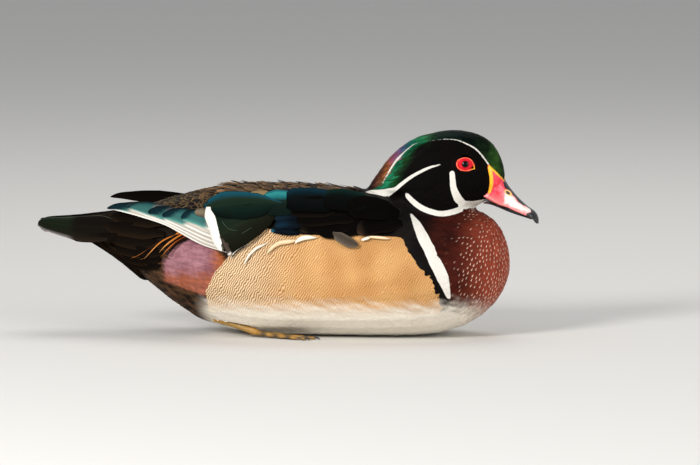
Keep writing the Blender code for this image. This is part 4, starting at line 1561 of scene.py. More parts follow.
BRIGHT_TOP = ((-1, "0c1613"), (-0.2, "121c18"), (0.26, "16271f"), (0.38, "1f666a"), (0.7, "2f8480"),
    (1, "124a58"))
DARK_TOP = ((-1, "070808"), (0.25, "090e0e"), (0.45, "081a20"), (0.8, "0d2832"), (1, "0c2a34"))
DULL_TOP = ((-1, "070706"), (0.3, "090c0b"), (0.7, "0d1e1b"), (1, "122622"))
BROWNED = ((-1, "15100c"), (-0.8, "0a0807"), (0.8, "080706"), (1, "0f0c0a"))
SPECULUM = plain("080c10", "0c131a", "080c10")
SCAPULARS = (
    Quill(((-10, 94), (-16, 94.2), (-21, 94.2), (-27, 93.4)), (2.2, 2.6, 2.4, 1.2), (2.4, 2.8, 2.6, 1.6),
        Dye(plain("6e5a40", "86704e", "7a6648")), 2.4),
    even(((10, 79.5), (2, 79), (-8.6, 77.6)), (3.4, 3.6, 3),
        Dye(SPECULUM, plain("0a1218", "111e27", "0a1218"), (0.3, 0.8), 0.08), 2.4, square=2.6),
    Quill(((10, 73.6), (0, 74), (-8.4, 73)), (3.4, 3.6, 3), (3, 3.2, 2.8),
        Dye(SPECULUM, plain("0a141d", "10222f", "0a141d"), (0.3, 0.8), 0.08), 2.2, square=2.6),
    Quill(((8, 68.4), (-2, 69.4), (-11.4, 70.2)), (2.8, 2.8, 1.6), (2, 2.2, 1.2),
        Dye(SPECULUM, plain("14384a", "2c6c84", "0e2a38"), (0.84, 0.97), 0.1), 2, square=2.6),
    Quill(((60, 76), (40, 71.5), (28, 69.6), (21, 68.8)), (6, 7, 7, 5), (5, 6, 5.5, 4), Dye(BROWNED), 1.4),
    Quill(((50, 75), (30, 74), (18, 72.6), (8.6, 71.4)), (6, 7, 7, 6), (5, 5.5, 5, 3.5),
        Dye(BROWNED, plain("2c231a", "14100d", "0f0c0a", "241d17"), (0.85, 0.97)), 1.7, square=2.6),
    Quill(((78, 76), (64, 74), (54, 71.5), (47, 69.4)), (6, 7, 7, 5), (5, 6, 5, 3.5),
        Dye(BROWNED, plain("382b1f", "261d16", "1b1511"), (0.8, 0.96)), 1.7),
    Quill(((55, 82), (35, 81), (20, 79.2), (6.5, 76.8)), (6, 7.5, 7.5, 5), (6, 7, 6.5, 4.5), Dye(BROWNED),
        2),
    Quill(((38, 86.5), (22, 86.5), (8, 85.8), (-1, 84.8)), (5, 7, 6, 5), (6, 8, 7.5, 5.5), Dye(BROWNED),
        2.3),
    Quill(((8, 88.6), (2, 88.6), (-6, 88.2), (-15.4, 87.8)), (6, 8, 9, 7), (6, 8, 8, 7),
        Dye(BRIGHT_TOP, gloss=0.18), 2.7, blunt=0.14, square=3),
    Quill(((38, 88), (24, 90), (10, 90.6), (-0.8, 89.8)), (5, 7.2, 7.6, 6.6), (6, 8, 8, 7),
        Dye(DARK_TOP, gloss=0.12), 2.9, blunt=0.14, square=3),
    Quill(((60, 86), (46, 89), (34, 90.2), (24.6, 89.8)), (4, 6.2, 6.8, 6), (6, 8, 8, 6.5),
        Dye(DULL_TOP, gloss=0.06), 3.1, blunt=0.16, square=2.6),
    Quill(((76, 82), (62, 84), (50, 85.4), (40, 85)), (4, 6.5, 7, 5.5), (6, 8, 8, 6.5), Dye(BLACKISH), 2.9),
)

CREAM = plain("c49a66", "e0c8a0", "e8d6b6", "c8a070")
WHITISH = plain("cdbb9c", "e9e2d4", "ece6da", "cbb594")
CRESCENTS = (
    Quill(((-27, 61.5), (-32.5, 58.6), (-36, 55.6), (-38.6, 52.4)), (0.4, 0.5, 0.5, 0.3),
        (1, 1.1, 0.9, 0.5), Dye(((-1, "1a1410"), (-0.3, "16110d"), (0, "e6e0d4"), (1, "ece6da")), gloss=0),
        1.5),
    Quill(((-13, 62.4), (-17, 60.6), (-21, 58.7), (-24.6, 55.6), (-27.4, 51.9), (-29.6, 47.4)),
        (0.5, 0.9, 1, 0.8, 0.4), (0.5, 0.8, 0.9, 0.7, 0.4), Dye(WHITISH, gloss=0), 1),
    even(((8, 64), (2, 63.2), (-4.2, 62.4), (-8.6, 60.4), (-11.7, 57.6), (-14.4, 54.4)),
        (1, 1.5, 1.6, 1.5, 1.2, 0.5), Dye(CREAM, gloss=0), 1),
    even(((20, 65.6), (14, 65.8), (9, 64.8), (5, 61.9)), (0.8, 1.5, 1.7, 1), Dye(WHITISH, gloss=0), 1.3,
        blunt=0.3),
    even(((70, 64.8), (63, 65.6), (55, 66.2)), (0.8, 1, 0.8), Dye(CREAM, gloss=0), 1.3),
    even(((57, 66.2), (53.5, 65), (49.8, 63.8)), (0.8, 1, 0.8), Dye(WHITISH, gloss=0), 1.6),
)
LOOSE = (
    Quill(((30.5, 68.5), (36.5, 65.2), (42.5, 62), (48.2, 59.8)), (3, 3.6, 3.6, 2.6), (3, 3.6, 3.6, 2.2),
        Dye(plain("6a5d4f", "4c433a", "40382f", "5a4f43"), gloss=0), 2.2, blunt=0.3, rise=0.4),
)


def plume(shaft: tuple[Pair, ...], half: tuple[float, ...], dye: Dye, layer: float) -> Quill:
    """A thin loose feather that springs from deep under its neighbours and stands out at its end."""
    return even(shaft, half, dye, layer, blunt=0.4, square=1.3, dive=1.8, rise=2.0)


ORANGE = Dye(plain("8c4216", "c0742f", "98501f"), plain("c07a38", "dc9c58", "c07a38"), (0.4, 0.9), 0)
RUSSET = Dye(plain("5f2610", "9a4c20", "702f15"), plain("a65524", "c47a3c"), (0.4, 0.9), 0)
PLUMES = (
    plume(((-65.5, 72), (-77.5, 67.8), (-83.5, 65.3), (-88.6, 61.8), (-93.6, 56.8), (-98.8, 51.4)),
        (0.3, 0.4, 0.5, 0.45, 0.3), ORANGE, 1.3),
    plume(((-66, 71.2), (-81, 66.4), (-90, 62), (-99.6, 55.8), (-106, 52.6)), (0.25, 0.3, 0.35, 0.3),
        Dye(plain("2a1a12", "3a2215"), RUSSET.tip, (0.7, 0.95), 0), 1.2),
    plume(((-64, 69.6), (-71.4, 68.2), (-76.5, 65.6), (-82.5, 61.2), (-87.4, 56)), (0.4, 0.6, 0.6, 0.4),
        ORANGE, 1.5),
    plume(((-64, 68.2), (-73.6, 64.8), (-79.6, 60.4), (-86.4, 53.4)), (0.4, 0.6, 0.5, 0.3), RUSSET, 1.4),
    Quill(((-62, 67.4), (-72, 64.2), (-78, 59.4), (-83.6, 52)), (0.8, 1.2, 1, 0.6), (0.8, 1, 0.8, 0.5),
        Dye(plain("120c09", "20140e", "120c09"), gloss=0), 1.3, blunt=0.5, square=1.3, dive=1.8, rise=2),
)
BROWN_EDGED = Dye(plain("20170f", "130e0a", "0f0b08", "0e0a08"), plain("281d14", "17110c", "120e0b"),
    (0.8, 0.96), 0)
TAIL_SIDE = Dye(((-1, "231c16"), (-0.5, "15110d"), (0.5, "100d0a"), (0.93, "14110d"), (1, "55564a")),
    ((-1, "8d8580"), (-0.86, "2a2823"), (-0.7, "151810"), (0.5, "161b12"), (0.9, "1f281d"), (1, "565c50")),
    (0.55, 0.66), 0.2)
TAIL_COVERTS = (
    Quill(((-112, 70.5), (-124, 71.2), (-136, 72), (-148, 73), (-158, 74), (-166, 75.2), (-172.3, 76.4)),
        (9, 9.8, 9.6, 8.2, 6.6, 5.2, 4), (9, 10, 10.6, 10.2, 8.2, 6.2, 4.4), TAIL_SIDE, 1.1, blunt=0.12,
        square=2.2, dive=0.3, rise=0),
    Quill(((-88, 46), (-96, 45.6), (-104, 46.4), (-113.4, 48)), (3, 4, 4, 3), (2, 2.2, 2, 1.2), BROWN_EDGED,
        0.6),
    Quill(((-88, 50), (-100, 50), (-110, 52), (-121, 55)), (4, 5, 5, 3), (3, 3.4, 3, 1.6), BROWN_EDGED,
        0.9),
    Quill(((-86, 55), (-100, 55.6), (-115, 58), (-129.4, 60.4)), (4, 5, 5, 3), (4, 4.4, 3.4, 1.8),
        BROWN_EDGED, 1.2),
    Quill(((-84, 61), (-100, 62), (-118, 64.2), (-136, 65.6)), (4, 5, 5, 3), (4, 5, 4, 2.4), BROWN_EDGED,
        1.5),
    Quill(((-84, 68), (-98, 69.2), (-112, 71), (-128, 72.4)), (4, 5, 5, 3), (4, 5, 4.5, 3), BROWN_EDGED,
        1.8),
    Quill(((-84, 75), (-96, 76.4), (-108, 77.4), (-121, 78.2)), (4, 4.6, 4.2, 3), (4, 5, 4.5, 3),
        BROWN_EDGED, 2.1),
)


def tail_feathers() -> tuple[Quill, ...]:
    """Six feathers of the right half of the tail, the outermost one lowest."""
    ends = ((-143, -26), (-150.5, -22.5), (-157.5, -18), (-163, -13), (-166, -8), (-170.8, -2.6))
    browned = plain("241c16", "15110d", "120e0b", "0f0d0a")
    greened = plain("4a443f", "1a2119", "161d15", "111410")
    dark = Dye(browned, greened, (0.72, 0.92), 0.2)
    out = []
    for i, (x, y) in enumerate(ends):
        root = (-98.0, -1.5 - 0.9 * (5 - i))
        shaft = (root, ((root[0] + x) / 2, root[1] * 0.45 + y * 0.55), (x, y))
        out.append(even(shaft, (4, 6, 6.5, 5), dark, 0.12 * i - 0.5, blunt=0.16, dive=0.1, rise=0.1))
    return tuple(out)


def lowered(quills: Sequence[Quill], by: float, above: float) -> tuple[Quill, ...]:
    """Feathers of the left side, whose highest ones the photo doesn't show over the back.

    Args:
        quills: The right side's feathers.
        by: How far the highest ones are lowered, in millimetres.
        above: The height that a shaft has to reach for that.

    Returns:
        The left side's feathers.
    """
    return tuple(
        replace(quill, shaft=tuple((x, z - by) for x, z in quill.shaft))
        if max(z for _, z in quill.shaft) > above else quill
        for quill in quills
    )


def undertail_feathers() -> tuple[Quill, ...]:
    """Long dark feathers under the right half of the tail."""
    ends = ((-150, -4), (-146, -11), (-139, -17), (-131, -20), (-136, -6), (-128, -14))
    out = []
    for i, ((x, y), root_y) in enumerate(zip(ends, (-3, -8, -12, -16, -5, -11))):
        shaft = ((-90, root_y), ((x - 90) / 2, (y + root_y) / 2), (x, y))
        out.append(even(shaft, (4, 6, 5), BROWN_EDGED, 0.3 + 0.2 * i, blunt=0.3, dive=7))
    return tuple(out)


class BigFeathers:
    """The wings' and the tail's large feathers, and the single plumes on the sides."""

    def build(self, effects: Effects) -> None:
        """Makes every set on both sides."""
        tips = Carrier(("flight_feathers_right", "wing_right"), SHEET)
        sides = Carrier(("trunk", "wing_right", "neck"), SHEET)
        folded = Carrier(("flight_feathers_right", "trunk", "wing_right"), SHEET)
        rear = Carrier(("trunk", "tail"), SHEET)
        top = Carrier(("tail",), FlatSheet())
        bottom = Carrier(("tail", "trunk"), FlatSheet(above=False))
        for side in (Side.RIGHT, Side.LEFT):
            label = side.label
            flight = QuillSet("primaries", PRIMARIES, tips).build(side, effects, lifted=True)
            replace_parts(flight, f"flight_feathers_{label}")
            QuillSet("secondaries", SECONDARIES, folded, 0.5).build(side, effects)
            QuillSet("tertials", TERTIALS, folded, 0.7).build(side, effects)
            shoulder = SCAPULARS if side is Side.RIGHT else lowered(SCAPULARS, 4.5, 89.5)
            QuillSet("scapulars", shoulder, sides, 0.7).build(side, effects)
            loose = LOOSE if side is Side.RIGHT else ()
            QuillSet("flank_edge", CRESCENTS + loose, sides).build(side, effects)
            QuillSet("plumes", PLUMES, rear).build(side, effects)
            QuillSet("tail_coverts", TAIL_COVERTS, rear).build(side, effects)
            fan = QuillSet("tail_feathers", tail_feathers(), top).build(side, effects)
            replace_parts(fan, "tail")
            under = QuillSet("undertail", undertail_feathers(), bottom).build(side, effects)


@dataclass(frozen=True)
class Glossy:
    """A smooth wet or horny surface with painted colours."""

    name: str
    rough: float = 0.3
    coat: float = 0.3
    coat_rough: float = 0.1
    scale: float = 0.0
    bump: float = 0.1
    specular: float = 0.5
    subsurface: float = 0.0

    def material(self, effects: Effects) -> bpy.types.Material:
        """Builds the material."""
        made, tree, shader = new_material(self.name)
        tree.put(shader, {
            "Base Color": tree.stored("Plumage").outputs["Color"],
            "Roughness": self.rough,
            "Coat Weight": self.coat,
            "Coat Roughness": self.coat_rough,
            "Specular IOR Level": self.specular,
            "Subsurface Weight": self.subsurface,
            "Subsurface Radius": (0.002, 0.001, 0.0006),
        })
        if self.scale:
            height = tree.use(effects.scales, Scale=self.scale).outputs["Height"]
            bump = tree.add("Bump", {"Height": height, "Strength": self.bump, "Distance": 0.0003})
            tree.put(shader, {"Normal": bump.outputs[0]})
        return made


def with_gloss(colour: Array) -> Array:
    """Colours with a fourth, unused channel."""
    return np.column_stack([colour, np.ones(len(colour))])


@dataclass(frozen=True)
class EyeSize:
    """Sizes of one eye, in millimetres."""

    ball: float = 6.5
    cornea: float = 0.5  # how far the middle stands out over a sphere
    opening: tuple[float, float] = (4.75, 3.85)  # half-length and half-height between the lids
    lid: tuple[float, float] = (6.3, 5.05)  # half-length and half-height over the lids
    corner: tuple[float, float] = (6.9, -3.4)  # where the front corner is, from the middle
    seen: float = 4.9  # radius of the ball's part between the lids; it dives beyond
    edge: float = 5.2  # radius at which the ball ends, under the lids


class Eye:
    """A red eye: glossy ball with a black pupil, and an orange fleshy ring with a yellow corner."""

    around: int = 72  # points of a loop of the lids
    ball_around: int = 48
    far: float = 14.0  # distance from which the skin round the eye is looked for
    ball_shades = (  # radius on the ball, and colour
        (0, "020202"), (0.8, "020202"), (1.7, "020202"), (2.05, "030202"), (2.17, "6a0a10"), (2.5, "b81420"),
        (3.2, "d41a2c"), (4, "da1e30"), (4.5, "d81e2e"), (4.9, "b01624"), (5.05, "400608"),
        (5.15, "140303"), (5.2, "100202"),
    )

    def __init__(self, side: Side, size: EyeSize = EyeSize()) -> None:
        """Finds the ball's middle and its outward direction on the frame."""
        self.side = side
        self.size = size
        low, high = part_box(f"eye_{side.label}")
        self.centre = (np.array(low) + np.array(high)) / 2 / MM
        sign = side.value
        self.centre[2] -= 0.45
        self.out = unit(np.array([[0.13, sign * 0.985, 0.11]]))[0]
        self.ahead = unit((np.array([1.0, 0, 0]) - self.out[0] * self.out)[None])[0]
        self.up = np.cross(self.ahead, self.out) * sign

    def world(self, ahead: Array, up: Array, out: Array) -> Array:
        """Points given along the eye's own directions."""
        return self.centre + np.stack([ahead, up, out], axis=-1) @ np.array([self.ahead, self.up, self.out])

    def ring(self, half: tuple[float, float], reach: float) -> tuple[Array, Array]:
        """A closed line round the eye: an ellipse drawn out to the front corner by a share."""
        turn = np.linspace(0, 2 * math.pi, self.around, endpoint=False)
        x, y = half[0] * np.cos(turn), half[1] * np.sin(turn)
        corner = math.atan2(self.size.corner[1], self.size.corner[0])
        near = np.exp(-(((turn - corner + math.pi) % (2 * math.pi) - math.pi) / 0.42) ** 2) * reach
        return x + (self.size.corner[0] - x) * near, y + (self.size.corner[1] - y) * near

    def build_ball(self, effects: Effects) -> bpy.types.Object:
        """Makes the eyeball."""
        size, count = self.size, self.ball_around
        points, colour = [], []
        turn = np.linspace(0, 2 * math.pi, count, endpoint=False)
        for r, code in self.ball_shades:
            height = math.sqrt(size.ball**2 - r * r) + size.cornea * math.exp(-((r / 3.0) ** 2)) - 0.1
            height -= 3.0 * float(ramp(size.seen, size.edge, np.array(r)))
            flat = 1 - 0.14 * float(ramp(3.2, size.seen, np.array(r)))
            loop = self.world(r * np.cos(turn), r * flat * np.sin(turn), np.full(count, height))
            points.append(loop if r else loop[:1])
            colour += [srgb(code)] * (count if r else 1)
        points.append(self.world(np.zeros(1), np.zeros(1), np.full(1, -1)))
        colour.append(colour[-1])
        loops = 1 + count * np.arange(len(self.ball_shades))
        *starts, last = loops
        j = np.arange(count)
        after = np.roll(j, -1)
        front = np.column_stack([0 * j, 1 + j, 1 + after])
        back = np.column_stack([0 * j + last, starts[-1] + after, starts[-1] + j])
        wet = Glossy("eyeball", rough=0.3, coat=0.22, coat_rough=0.02, specular=0.05)
        parts = MeshParts(
            np.concatenate(points),
            band_faces(starts, count),
            np.concatenate([front, back]),
            colour=with_gloss(np.array(colour)),
        )
        return self.finish(f"eyeball_{self.side.label}", parts, wet, effects)

    def build_lids(self, effects: Effects, skin: Skin) -> bpy.types.Object:
        """Makes the fleshy ring: from under the skin, over its crest, down onto the ball."""
        size = self.size
        # Painted shade: the ring's orange-red darkens down to the ball and the skin, and turns near black
        # under the skin.
        stations = (  # share of the way outwards, height over ball or skin, colour, whether over the ball
            (0.0, -0.9, "8a1210", True), (0.0, 0.12, "b81a18", True), (0.16, 0.42, "e8352c", True),
            (0.42, 0.62, "ff5a3a", False), (0.66, 0.72, "ff6a40", False), (0.86, 0.45, "f0452c", False),
            (1.0, -0.1, "7a1a10", False), (1.06, -1.6, "1a0806", False), (0.5, -2.6, "1a0806", False),
        )
        points, colour = [], []
        for share, height, code, on_ball in stations:
            inner = self.ring(size.opening, 0.45)
            outer = self.ring(size.lid, 0.9)
            x = inner[0] + (outer[0] - inner[0]) * share
            y = inner[1] + (outer[1] - inner[1]) * share
            radius = np.hypot(x, y)
            ball = np.sqrt(np.maximum(size.ball**2 - np.minimum(radius, 6.3) ** 2, 0))
            starts = self.world(x, y, np.full(len(x), self.far))
            hits = [skin.tree.ray_cast(Vector(p), Vector(-self.out))[3] for p in starts]
            surface = self.evened(np.array([self.far - (11.0 if h is None else h) for h in hits]))
            base = ball if on_ball else surface + 0.6
            join = np.maximum(base, ball) if share < 0.7 and height > 0 else base
            points.append(self.world(x, y, join + height))
            shade = np.tile(srgb(code), (len(x), 1))
            corner = np.hypot(x - size.corner[0] + 0.9, y - size.corner[1] - 0.6)
            yellow = ramp(2.3, 1, corner) * (height > 0)
            colour.append(blend(shade, "ffb81c", yellow))
        starts = [self.around * k for k in range(len(stations))] + [0]
        faces = band_faces(starts, self.around)
        parts = MeshParts(np.concatenate(points), faces, colour=with_gloss(np.concatenate(colour)))
        fleshy = Glossy("eyelid", rough=0.42, coat=0.25, subsurface=0.15)
        return self.finish(f"eyelids_{self.side.label}", parts, fleshy, effects)

    @staticmethod
    def evened(values: Array) -> Array:
        """Heights round a ring, smoothed."""
        for _ in range(6):
            values = (np.roll(values, 1) + 2 * values + np.roll(values, -1)) / 4
        return values

    def finish(self, name: str, parts: MeshParts, finish: Glossy, effects: Effects) -> bpy.types.Object:
        """Makes one piece of the eye, with its faces outward."""
        if self.side is Side.LEFT:
            parts.quads, parts.tris = parts.quads[:, ::-1], parts.tris[:, ::-1]
        piece = parts.build(name, effects.material(finish))
        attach(piece, BODY)
        return piece

    def build(self, effects: Effects, skin: Skin) -> None:
        """Makes the ball and its lids."""
        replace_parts(self.build_ball(effects), f"eye_{self.side.label}")
        self.build_lids(effects, skin)

    def local(self, points: Array) -> tuple[Array, Array, Array]:
        """How far points are ahead of the ball's middle, above it and out from it."""
        offset = points - self.centre
        return offset @ self.ahead, offset @ self.up, offset @ self.out

    def covers(self, points: Array) -> Array:
        """Which points lie in the ring's way."""
        x, y, out = self.local(points)
        corner = np.hypot(x - self.size.corner[0], y - self.size.corner[1]) < 1.2
        return (((x / 6.4) ** 2 + (y / 5.2) ** 2 < 1) | corner) & (out > 0)

    def socket(self, points: Array) -> Array:
        """The moves by which points of the skin sink to make room for the ring."""
        x, y, out = self.local(points)
        inside = ramp(1, 0.82, np.hypot(x / 6.2, y / 5.0)) * (out > 0)
        return -1.6 * inside[:, None] * self.out


@dataclass(frozen=True)
class BillMarks:
    """Outlines of the bill's colours on the side sheet."""

    region: Patch = Patch(((137.6, 114.6), (143.3, 109.3), (148.8, 103.5), (156, 106), (185, 100),
        (185, 70), (160, 72), (151, 83.9), (143.9, 86.5), (138.8, 89.3), (134.7, 93.2), (137.1, 95),
        (138, 97), (138.8, 101.1), (138.6, 106.6), (137.2, 113)))
    culmen: Patch = Patch(((147, 102.9), (148.4, 99.3), (152.2, 96.9), (154.9, 93.4), (157.7, 89.8),
        (160.9, 87.6), (164.6, 86.8), (166, 88), (166, 100), (150, 108), (148.2, 103.9)))
    nail: Patch = Patch(((165.4, 88), (165.8, 85), (166.2, 82.9), (163.2, 82.2), (162.4, 79), (166, 70),
        (180, 70), (180, 95)))
    pale: Patch = Patch(((148.3, 95.6), (148, 92.5), (148.3, 89.6), (151, 87.4), (156, 85.3), (161.8, 83),
        (166.4, 82.9), (165.8, 86.3), (161.4, 87), (157.2, 90), (154.5, 93.6), (151, 95)))
    yellow: Stroke = Stroke(((148.6, 103.9), (143.2, 109.1), (138.1, 113.5), (138.9, 106.6), (138.9, 101.1),
        (137.9, 97), (137.2, 95.2)), (0.35, 0.9, 1.3, 1.3, 1.2, 0.8, 0.1), 3)
    nostril: tuple[float, float] = (150.6, 96.1)


class Bill:
    """The bill: a smooth horny upper half that runs up onto the face, and a thin black lower half."""

    voxel: float = 0.42
    head_cut: float = 130.6
    tuck_height: float = 106.0
    ridge: float = 2.5  # half-width of the ridge, where no nostril is

    def __init__(self, marks: BillMarks = BillMarks()) -> None:
        """Keeps the colours' outlines."""
        self.marks = marks

    def from_nostril(self, places: Array) -> Array:
        """How far places on the sheet are along the nostril's slit from its middle, and how far over it."""
        return ((places - np.array(self.marks.nostril)) @ np.array([[0.78, 0.62], [-0.62, 0.78]])).T

    def upper(self) -> tuple[Array, Array]:
        """Points and faces of the upper half, sunk under the feathers outside its outline."""
        mesh = solid_mesh(("bill_upper", "head"), 0.25)
        bm = bmesh.new()
        bm.from_mesh(mesh)
        cut = bmesh.ops.bisect_plane(
            bm, geom=[*bm.verts, *bm.edges, *bm.faces], plane_co=Vector((self.head_cut, 0, 104)) * MM,
            plane_no=(1, 0, 0), clear_inner=True,
        )
        rim = [e for e in cut["geom_cut"] if isinstance(e, bmesh.types.BMEdge)]
        bmesh.ops.holes_fill(bm, edges=rim)
        bm.to_mesh(mesh)
        bm.free()
        points, quads = fused(mesh, self.voxel, 5)
        normals = vertex_normals(points, quads)
        places = SHEET.flat(points)
        gap = self.marks.region.gap(places)
        behind = ramp(135.5, 132, points[:, 0])
        lift = 0.7 * ramp(0.9, -0.5, gap) * ramp(152, 146, points[:, 0])
        sink = -0.3 + lift - 2.0 * ramp(0.1, 1.6, gap) - 1.2 * behind
        along, over = self.from_nostril(places)
        pit = np.exp(-((along / 2.0) ** 2) - (over / 0.85) ** 2)
        rim_height = np.exp(-((along / 3.4) ** 2) - (over / 1.8) ** 2)
        side = np.abs(points[:, 1]) > self.ridge
        sink = sink + side * (0.45 * rim_height - 1.5 * pit)
        points = points + normals * sink[:, None]
        tuck = 1 - 0.4 * behind
        points[:, 1] *= tuck
        points[:, 2] = self.tuck_height + (points[:, 2] - self.tuck_height) * tuck
        hook = ramp(167, 171.5, points[:, 0]) * ramp(82.5, 78.5, points[:, 2])
        points[:, 0] -= 0.9 * ramp(166, 172, points[:, 0])
        points[:, 2] -= 0.8 * hook
        points[:, 1] *= 1 - 0.35 * hook
        return points, quads

    def paint(self, points: Array) -> Array:
        """The upper half's colours, with painted shade in the nostril and on its faces that point down."""
        marks = self.marks
        places = SHEET.flat(points)
        x, height = places.T
        fine = ripple(points, 1.6, 11)
        colour = blend("ee1c34", "f24254", ramp(-0.8, 1.2, fine + ramp(143, 149, x)))
        edge = np.interp(x, (134.9, 143.9, 150.3, 157.2, 163.4), (93.4, 87.2, 85.0, 82.0, 80.6))
        lower = ramp(3.2, 0.8, height - edge)
        colour = blend(colour, "f7837f", np.clip(lower + ramp(97, 91, height) * 0.55, 0, 1))
        colour = blend(colour, "f5e0d8", ramp(1.3, -1.3, marks.pale.gap(places) + 0.5 * fine))
        colour = blend(colour, "ffb703", ramp(0.35, -0.25, marks.yellow.gap(places)))
        dark = ramp(0.35, -0.35, marks.culmen.gap(places) + 0.15 * fine)
        colour = blend(colour, "14161a", dark)
        along, over = self.from_nostril(places)
        away = np.hypot(along / 3.2, over / 1.7)
        side = np.abs(points[:, 1]) > self.ridge
        colour = blend(colour, "f7c77a", side * ramp(1.05, 0.85, away))
        # Painted shade: the nostril's pit is painted dark brown inside.
        colour = blend(colour, "2a120c", side * ramp(0.62, 0.45, away))
        colour = blend(colour, "15161a", ramp(0.35, -0.35, marks.nail.gap(places)))
        centre = ramp(3.4, 2.6, np.abs(points[:, 1])) * ramp(146, 149, points[:, 0])
        # Painted shade: faces that point down are painted dark maroon.
        under = ramp(-0.35, -0.7, self.facing[:, 2])
        colour = blend(colour, "15161a", centre * ramp(0.2, 0.5, self.facing[:, 2]))
        return blend(colour, "3a1a18", under)

    def build(self, effects: Effects) -> None:
        """Makes both halves."""
        points, quads = self.upper()
        self.facing = vertex_normals(points, quads)
        horn = Glossy("bill", 0.34, coat=0.35, coat_rough=0.15, scale=900.0, bump=0.08, subsurface=0.1)
        parts = MeshParts(points, quads, colour=with_gloss(self.paint(points)))
        piece = parts.build("bill_upper_half", effects.material(horn))
        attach(piece, BODY)
        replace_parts(piece, "bill_upper")
        points, quads = fused(solid_mesh(("bill_lower",), 0.1), 0.5, 2)
        dark = blend("1a1214", "5a2a2a", ramp(140, 135, points[:, 0]))
        parts = MeshParts(points, quads, colour=with_gloss(dark))
        lower = parts.build("bill_lower_half", effects.material(horn))
        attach(lower, BODY)
        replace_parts(lower, "bill_lower")

    def covers(self, points: Array) -> Array:
        """Which points lie on the bill's part of the face."""
        places = SHEET.flat(points)
        return (self.marks.region.gap(places) < 0.25) & (points[:, 0] > 130)


@dataclass(frozen=True)
class FootSize:
    """Sizes of a left foot, in millimetres; it lies flat under the belly with the toes ahead."""

    hock: tuple[float, float, float] = (-46.0, 27.0, 12.0)
    ankle: tuple[float, float, float] = (-15.5, 34.5, 3.4)
    shank_radius: float = 2.5
    toe_radius: float = 1.5
    lengths: tuple[float, float, float] = (32.0, 42.0, 39.0)
    turns_deg: tuple[float, float, float] = (0.0, 13.0, 25.0)
    bones: tuple[int, int, int] = (2, 3, 4)
    claw: float = 4.5
    web_reach: float = 0.9
    web_scallop: float = 0.17


